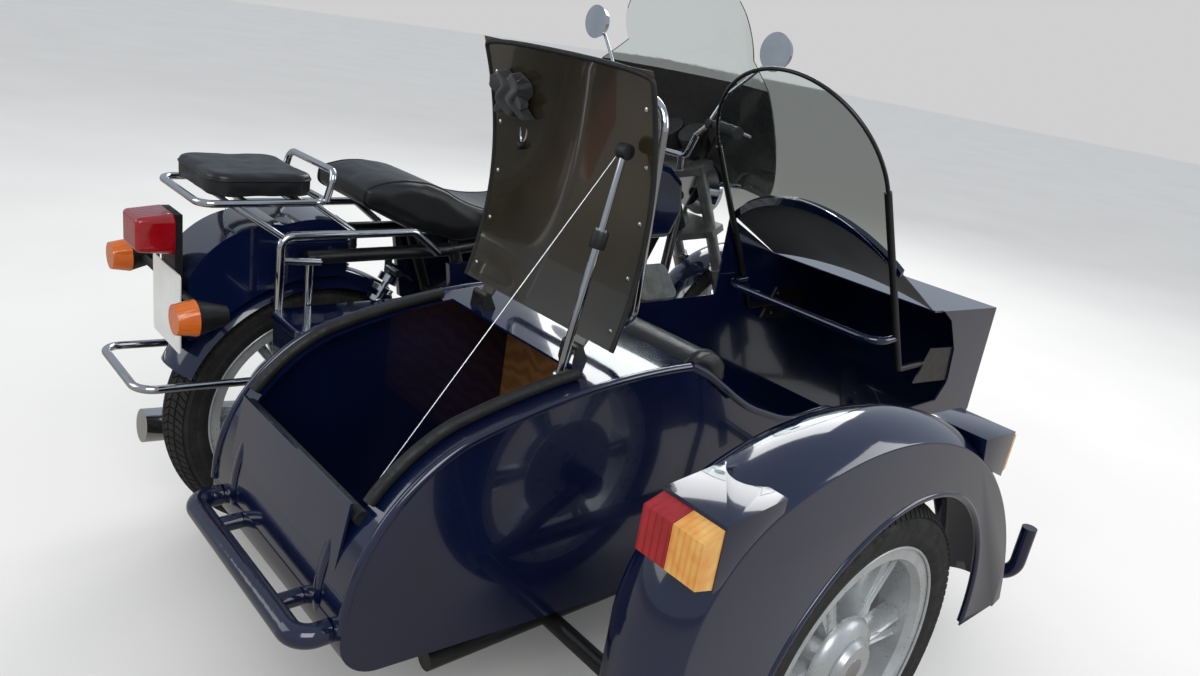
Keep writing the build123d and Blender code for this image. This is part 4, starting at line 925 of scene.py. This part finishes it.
class OUTFIT_OT_mudguard(bpy.types.Operator):
    """Fold the sidecar mudguard's edges and roll its wheel arch"""
    bl_idname = "outfit.mudguard"
    bl_label = "Sidecar mudguard"

    def execute(self, context):
        guard = copy_of("sidecar_mudguard")
        edit(guard)
        bpy.ops.mesh.dissolve_limited(angle_limit=flat_angle)
        done()
        fold = self.folds(guard)
        edit(guard, lambda spot, way: tuple(round(c, 5) for c in spot) in fold, "EDGE")
        bpy.ops.mesh.bevel(offset=sizes().guard_edge, segments=5, affect="EDGES", clamp_overlap=True)
        done()
        settle(guard, "sidecar_mudguard_folded", "navy_paint", "root", 40)
        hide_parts("sidecar_mudguard")
        roll = tube([place(x, arch_side, z) for x, z in arc(*arch, 40)], arch_roll)
        settle(roll, "guard_rim", "navy_paint", "root", 60)
        return {"FINISHED"}

    def folds(self, guard):
        """Middles of the outer edges where the ridge meets the side plate."""
        mesh = guard.data
        faces_of = {}
        for face in mesh.polygons:
            for key in face.edge_keys:
                faces_of.setdefault(key, []).append(face.normal)
        low = min(v.co.y for v in mesh.vertices)
        found = set()
        for edge in mesh.edges:
            normals = faces_of.get(tuple(sorted(edge.vertices)), [])
            a, b = (mesh.vertices[i].co for i in edge.vertices)
            middle = (a + b) / 2
            if len(normals) != 2 or normals[0].angle(normals[1]) <= fold_angle:
                continue
            on_side = min(normals[0].y, normals[1].y) < -0.9 and middle.y < low + 8 * MM
            if on_side and self.outside(middle, normals):
                found.add(tuple(round(c, 5) for c in middle))
        return found

    def outside(self, middle, normals):
        """Whether an edge is on the ridge's side, away from the wheel's axle."""
        axle = place(*wheels["sidecar"][0])
        ray = Vector((middle.x - axle.x, 0, middle.z - axle.z))
        other = max(normals, key=lambda n: n.y)
        return other.dot(ray) > 0


# Housings with pressed edges

housings = {
    # node: finish, width of the edge in mm
    "marker_housings": ("navy_paint", 3.0),
    "tail_lamp": ("red_lens", 4.0),
    "side_box": ("navy_paint", 5.0),
}


class OUTFIT_OT_housings(bpy.types.Operator):
    """Press soft edges on the lamp housings, the tail lamp and the side box"""
    bl_idname = "outfit.housings"
    bl_label = "Housings"

    def execute(self, context):
        for node, (finish, width) in housings.items():
            piece = copy_of(node)
            edit(piece)
            bpy.ops.mesh.dissolve_limited(angle_limit=math.radians(1.0))
            done()
            apply(piece, "BEVEL", width=width * MM, segments=3, limit_method="ANGLE",
                  angle_limit=math.radians(50))
            settle(piece, node + "_pressed", finish, "root", 40)
            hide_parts(node)
        return {"FINISHED"}


# Boot lid

lid_turn = math.radians(108.4)
hinge_side = (146.0, 772.0)
lid_side = ((-336, 610), (-160, 722), (126, 780))
lid_half = 240.0
stay_foot, stay_eye = (85, -850, 735), (158, -850, 1142)
wire_top, wire_low = (152, -839, 1134), (-290, -876, 609)
wire_runs = 24
clamp_from, clamp_to, clamp_radius = 240, 272, 15
head_half, head_radius = 12, 14
rivet_inset = 22
hook_at = (192, -520, 1142)
hook_outline = ((0, 0), (9, -8), (11, -24), (8, -44), (0, -52), (-8, -44), (-11, -24), (-9, -8))
ring_above, ring_radius = 6, 7
latch_from, latch_to = (180, -520, 1086), (197, -520, 1086)


def opened(x, z):
    """A place of the shut lid's side view, carried round to where the lid stands open."""
    dx, dz = x - hinge_side[0], z - hinge_side[1]
    return (hinge_side[0] + dx * math.cos(lid_turn) + dz * math.sin(lid_turn),
            hinge_side[1] - dx * math.sin(lid_turn) + dz * math.cos(lid_turn))


class OUTFIT_OT_lid(bpy.types.Operator):
    """Fit the lid's rubber edging and rivets, the black fittings of its stay, its hook and its latch"""
    bl_idname = "outfit.lid"
    bl_label = "Lid fittings"

    def execute(self, context):
        side = [opened(x, z + 1.5) for x, z in arc(*lid_side, 16)]
        near = [place(x, body_mid_mm - lid_half + 2, z) for x, z in side]
        far = [place(x, body_mid_mm + lid_half - 2, z) for x, z in side]
        settle(tube(near[::-1] + far, sizes().edging), "lid_edging", "black_rubber", "boot_lid", 60)

        spots = [(place(side[index][0] - 0.5, y, side[index][1]), (-1, 0, 0)) for index in range(2, 15, 3)
                 for y in (body_mid_mm - lid_half + rivet_inset, body_mid_mm + lid_half - rivet_inset)]
        settle(scatter(domed(5 * MM, 3 * MM, 12), spots), "lid_rivets", "chrome", "boot_lid")

        foot_at, eye_at = place(*stay_foot), place(*stay_eye)
        way = (eye_at - foot_at).normalized()
        clamp = rod(foot_at + way * clamp_from * MM, foot_at + way * clamp_to * MM, clamp_radius * MM, 24)
        settle(clamp, "stay_clamp", "black_plastic", "stay_tube")
        side_way = Vector((0, head_half * MM, 0))
        bracket = rod(eye_at - side_way, eye_at + side_way, head_radius * MM, 24)
        settle(bracket, "stay_head", "black_plastic", "stay_rod")

        x, y, z = hook_at
        hook = tube([place(x, y + across, z + up) for across, up in hook_outline], 2.4 * MM, cyclic=True)
        turns = [2 * math.pi * index / 16 for index in range(16)]
        ring = tube([place(x + ring_radius * math.cos(t), y, z + ring_above + ring_radius * math.sin(t))
                     for t in turns], 2 * MM, cyclic=True)
        settle(join([hook, ring]), "lid_snap_hook", "chrome", "boot_lid", 60)
        latch = rod(place(*latch_from), place(*latch_to), 8 * MM)
        settle(latch, "lid_latch_stud", "black_plastic", "boot_lid")
        return {"FINISHED"}


class OUTFIT_OT_wire(bpy.types.Operator):
    """Draw the taut wire from the stay's head on the lid to the boot's rubber edge"""
    bl_idname = "outfit.wire"
    bl_label = "Lid wire"

    def execute(self, context):
        top, low = place(*wire_top), place(*wire_low)
        wire = tube([low.lerp(top, index / wire_runs) for index in range(wire_runs + 1)], sizes().wire)
        solo(wire)
        bpy.ops.object.transform_apply(location=True, rotation=True, scale=True)
        wire.name = "lid_wire"
        wire.data.name = "lid_wire"
        wire.data.materials.append(finishes["chrome"])
        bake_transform(wire)
        return {"FINISHED"}


fold_base, fold_swing = 0.86, 0.14
# Radians of fold a metre: across, the waver of the folds up the lid, and outward
fold_across, fold_up, fold_out, fold_waver = 140, 90, 60, 2.4


class OUTFIT_OT_wrap(bpy.types.Operator):
    """Crumple the soft wrap that hangs at the lid's corner"""
    bl_idname = "outfit.wrap"
    bl_label = "Lid wrap"

    def execute(self, context):
        piece = copy_of("lid_wrap")
        low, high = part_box("lid_wrap")
        solo(piece)
        piece.data.remesh_voxel_size = 3.0 * MM
        bpy.ops.object.voxel_remesh()
        spots = points_of(piece)
        middle = spots.mean(axis=0)
        rays = spots - middle
        waves = rays[:, 1] * fold_across + np.sin(rays[:, 2] * fold_up) * fold_waver + rays[:, 0] * fold_out
        folds = fold_base + fold_swing * np.sin(waves)
        set_points(piece, np.clip(middle + rays * folds[:, None], np.array(low), np.array(high)))
        apply(piece, "SUBSURF", levels=1, render_levels=1)
        settle(piece, "lid_wrap_folds", "cowl_cloth", "boot_lid", 60)
        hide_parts("lid_wrap")
        return {"FINISHED"}


# Handlebar: routes on the left side, mirrored to the right

lever_route = ((1076, 236, 1114), (1112, 262, 1112), (1100, 320, 1108), (1084, 372, 1106))
perch_ends = ((1056, 232, 1115), (1094, 240, 1113))
cable_routes = (
    # places, radius
    (((1090, 236, 1113), (1160, 200, 1150), (1240, 120, 1060), (1262, 60, 960)), 4.0),
    (((1070, 220, 1104), (1150, 160, 1110), (1230, 80, 1010), (1250, 40, 950)), 3.5),
)


def on_hand(route, hand):
    """Places of a route on the left (1) or the right (-1)."""
    return [place(x, hand * y, z) for x, y, z in route]


class OUTFIT_OT_bar(bpy.types.Operator):
    """Fit the handlebar's levers, their perches and the cables down to the headstock"""
    bl_idname = "outfit.bar"
    bl_label = "Bar fittings"

    def execute(self, context):
        levers, perches, cables = [], [], []
        for hand in (1, -1):
            levers.append(tube(on_hand(lever_route, hand), sizes().lever))
            perches.append(rod(*on_hand(perch_ends, hand), 13 * MM))
            for route, radius in cable_routes:
                cables.append(tube(on_hand(route, hand), radius * MM))
        settle(join(levers), "bar_levers", "chrome", "fork")
        settle(join(perches), "lever_perches", "black_plastic", "fork")
        settle(join(cables), "bar_cables", "black_rubber", "fork")
        return {"FINISHED"}


# Stage

lamps = (
    # name, place, size, power
    ("key", (-2.6, -3.6, 4.2), 3.2, 120),
    ("fill", (-4.2, 2.2, 3.0), 3.0, 40),
    ("rim", (3.4, 2.6, 3.6), 3.0, 110),
    ("front", (3.4, -3.2, 2.6), 2.4, 40),
)
camera_place = (-923.5, -1972.0, 1348.5)
camera_heading, camera_dip, camera_roll = 45.683, 19.349, 9.370
camera_lens = 27.03
floor_size, floor_drop = 60, 0.0005
lamp_aim = 0.5


class OUTFIT_OT_stage(bpy.types.Operator):
    """Lay a plain pale floor, and set the soft lamps and the camera at the photograph's angle"""
    bl_idname = "outfit.stage"
    bl_label = "Stage"

    def execute(self, context):
        self.floor()
        self.world()
        for name, spot, size, power in lamps:
            light = bpy.data.lights.new(name, "AREA")
            light.size = size
            light.energy = power
            lamp = bpy.data.objects.new(name, light)
            bpy.context.scene.collection.objects.link(lamp)
            lamp.location = spot
            aim = Vector((0, 0, lamp_aim)) - Vector(spot)
            lamp.rotation_euler = aim.to_track_quat("-Z", "Y").to_euler()
        self.camera()
        bpy.context.scene.view_settings.view_transform = "Standard"
        return {"FINISHED"}

    def floor(self):
        """Pale matt floor that stays out of the export."""
        bpy.ops.object.select_all(action="DESELECT")
        bpy.ops.mesh.primitive_plane_add(size=floor_size, location=(0, 0, -floor_drop))
        floor = bpy.context.active_object
        floor.name = "floor"
        # Matt floor paint: pale to the eye, darker in the paint's reflections so that gloss keeps its depth
        material, tree, shader, coords = new_material("matt_floor_paint")
        shader.inputs["Roughness"].default_value = 0.85
        pale = two_tone(tree, mottle(tree, coords, 900, 0.0, 1.0), linear("#dddbd7"), linear("#e2e0dc"))
        rays = add(tree, "ShaderNodeLightPath")
        seen = add(tree, "ShaderNodeMix", data_type="RGBA")
        tree.links.new(rays.outputs["Is Glossy Ray"], seen.inputs[0])
        tree.links.new(pale, seen.inputs[6])
        seen.inputs[7].default_value = linear("#8d8880")
        tree.links.new(seen.outputs[2], shader.inputs["Base Color"])
        floor.data.materials.append(material)

    def world(self):
        """Even light, a dimmer one in gloss, and a pale grey for the eye and through glass."""
        world = bpy.data.worlds.new("studio")
        bpy.context.scene.world = world
        world.use_nodes = True
        tree = world.node_tree
        tree.nodes.clear()
        rays = add(tree, "ShaderNodeLightPath")
        seen = add(tree, "ShaderNodeMath", {0: rays.outputs["Is Camera Ray"],
                                            1: rays.outputs["Is Transmission Ray"]}, operation="MAXIMUM")
        plain = add(tree, "ShaderNodeBackground", {"Color": linear("#e6eaf0"), "Strength": 1.0})
        shine = add(tree, "ShaderNodeBackground", {"Color": linear("#c9d4e2"), "Strength": 0.6})
        pale = add(tree, "ShaderNodeBackground", {"Color": linear("#d0d0d0"), "Strength": 1.0})
        lit = add(tree, "ShaderNodeMixShader", {0: rays.outputs["Is Glossy Ray"],
                                                1: plain.outputs["Background"],
                                                2: shine.outputs["Background"]})
        mix = add(tree, "ShaderNodeMixShader", {0: seen.outputs["Value"], 1: lit.outputs["Shader"],
                                                2: pale.outputs["Background"]})
        add(tree, "ShaderNodeOutputWorld", {"Surface": mix.outputs["Shader"]})

    def camera(self):
        """The camera that was solved from the photograph."""
        camera_at = place(*camera_place)
        y, p, r = (math.radians(angle) for angle in (camera_heading, camera_dip, camera_roll))
        ahead = Vector((math.cos(y) * math.cos(p), math.sin(y) * math.cos(p), -math.sin(p)))
        flat = Vector((math.sin(y), -math.cos(y), 0))
        up = flat.cross(ahead)
        right = flat * math.cos(r) + up * math.sin(r)
        top = up * math.cos(r) - flat * math.sin(r)
        data = bpy.data.cameras.new("camera")
        data.sensor_width = 36
        data.lens = camera_lens
        data.clip_start, data.clip_end = 0.05, 200
        camera = bpy.data.objects.new("camera", data)
        bpy.context.scene.collection.objects.link(camera)
        camera.matrix_world = Matrix((
            (right.x, top.x, -ahead.x, camera_at.x),
            (right.y, top.y, -ahead.y, camera_at.y),
            (right.z, top.z, -ahead.z, camera_at.z),
            (0, 0, 0, 1),
        ))
        bpy.context.scene.camera = camera


# Steps in their order
steps = (
    OUTFIT_OT_finishes, OUTFIT_OT_stage, OUTFIT_OT_tyres, OUTFIT_OT_wheels, OUTFIT_OT_seats, OUTFIT_OT_cowl,
    OUTFIT_OT_body, OUTFIT_OT_mudguard, OUTFIT_OT_housings, OUTFIT_OT_lid, OUTFIT_OT_wire, OUTFIT_OT_wrap,
    OUTFIT_OT_bar,
)


class OUTFIT_PT_panel(bpy.types.Panel):
    """Settings and steps of the outfit's finish"""
    bl_idname = "OUTFIT_PT_panel"
    bl_label = "Sidecar outfit"
    bl_space_type = "VIEW_3D"
    bl_region_type = "UI"
    bl_category = "Outfit"

    def draw(self, context):
        for group in (context.scene.outfit_colours, context.scene.outfit_sizes):
            for name in group.__annotations__:
                self.layout.prop(group, name)
        for step in steps:
            self.layout.operator(step.bl_idname)


classes = (OutfitColours, OutfitSizes, *steps, OUTFIT_PT_panel)


def register():
    for item in classes:
        bpy.utils.register_class(item)
    bpy.types.Scene.outfit_colours = PointerProperty(type=OutfitColours)
    bpy.types.Scene.outfit_sizes = PointerProperty(type=OutfitSizes)


def unregister():
    del bpy.types.Scene.outfit_sizes
    del bpy.types.Scene.outfit_colours
    for item in reversed(classes):
        bpy.utils.unregister_class(item)


def main():
    """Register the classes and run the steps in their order."""
    register()
    bpy.ops.outfit.finishes()
    bpy.ops.outfit.stage()
    bpy.ops.outfit.tyres()
    bpy.ops.outfit.wheels()
    bpy.ops.outfit.seats()
    bpy.ops.outfit.cowl()
    bpy.ops.outfit.body()
    bpy.ops.outfit.mudguard()
    bpy.ops.outfit.housings()
    bpy.ops.outfit.lid()
    bpy.ops.outfit.wire()
    bpy.ops.outfit.wrap()
    bpy.ops.outfit.bar()


if __name__ == "__main__":
    main()
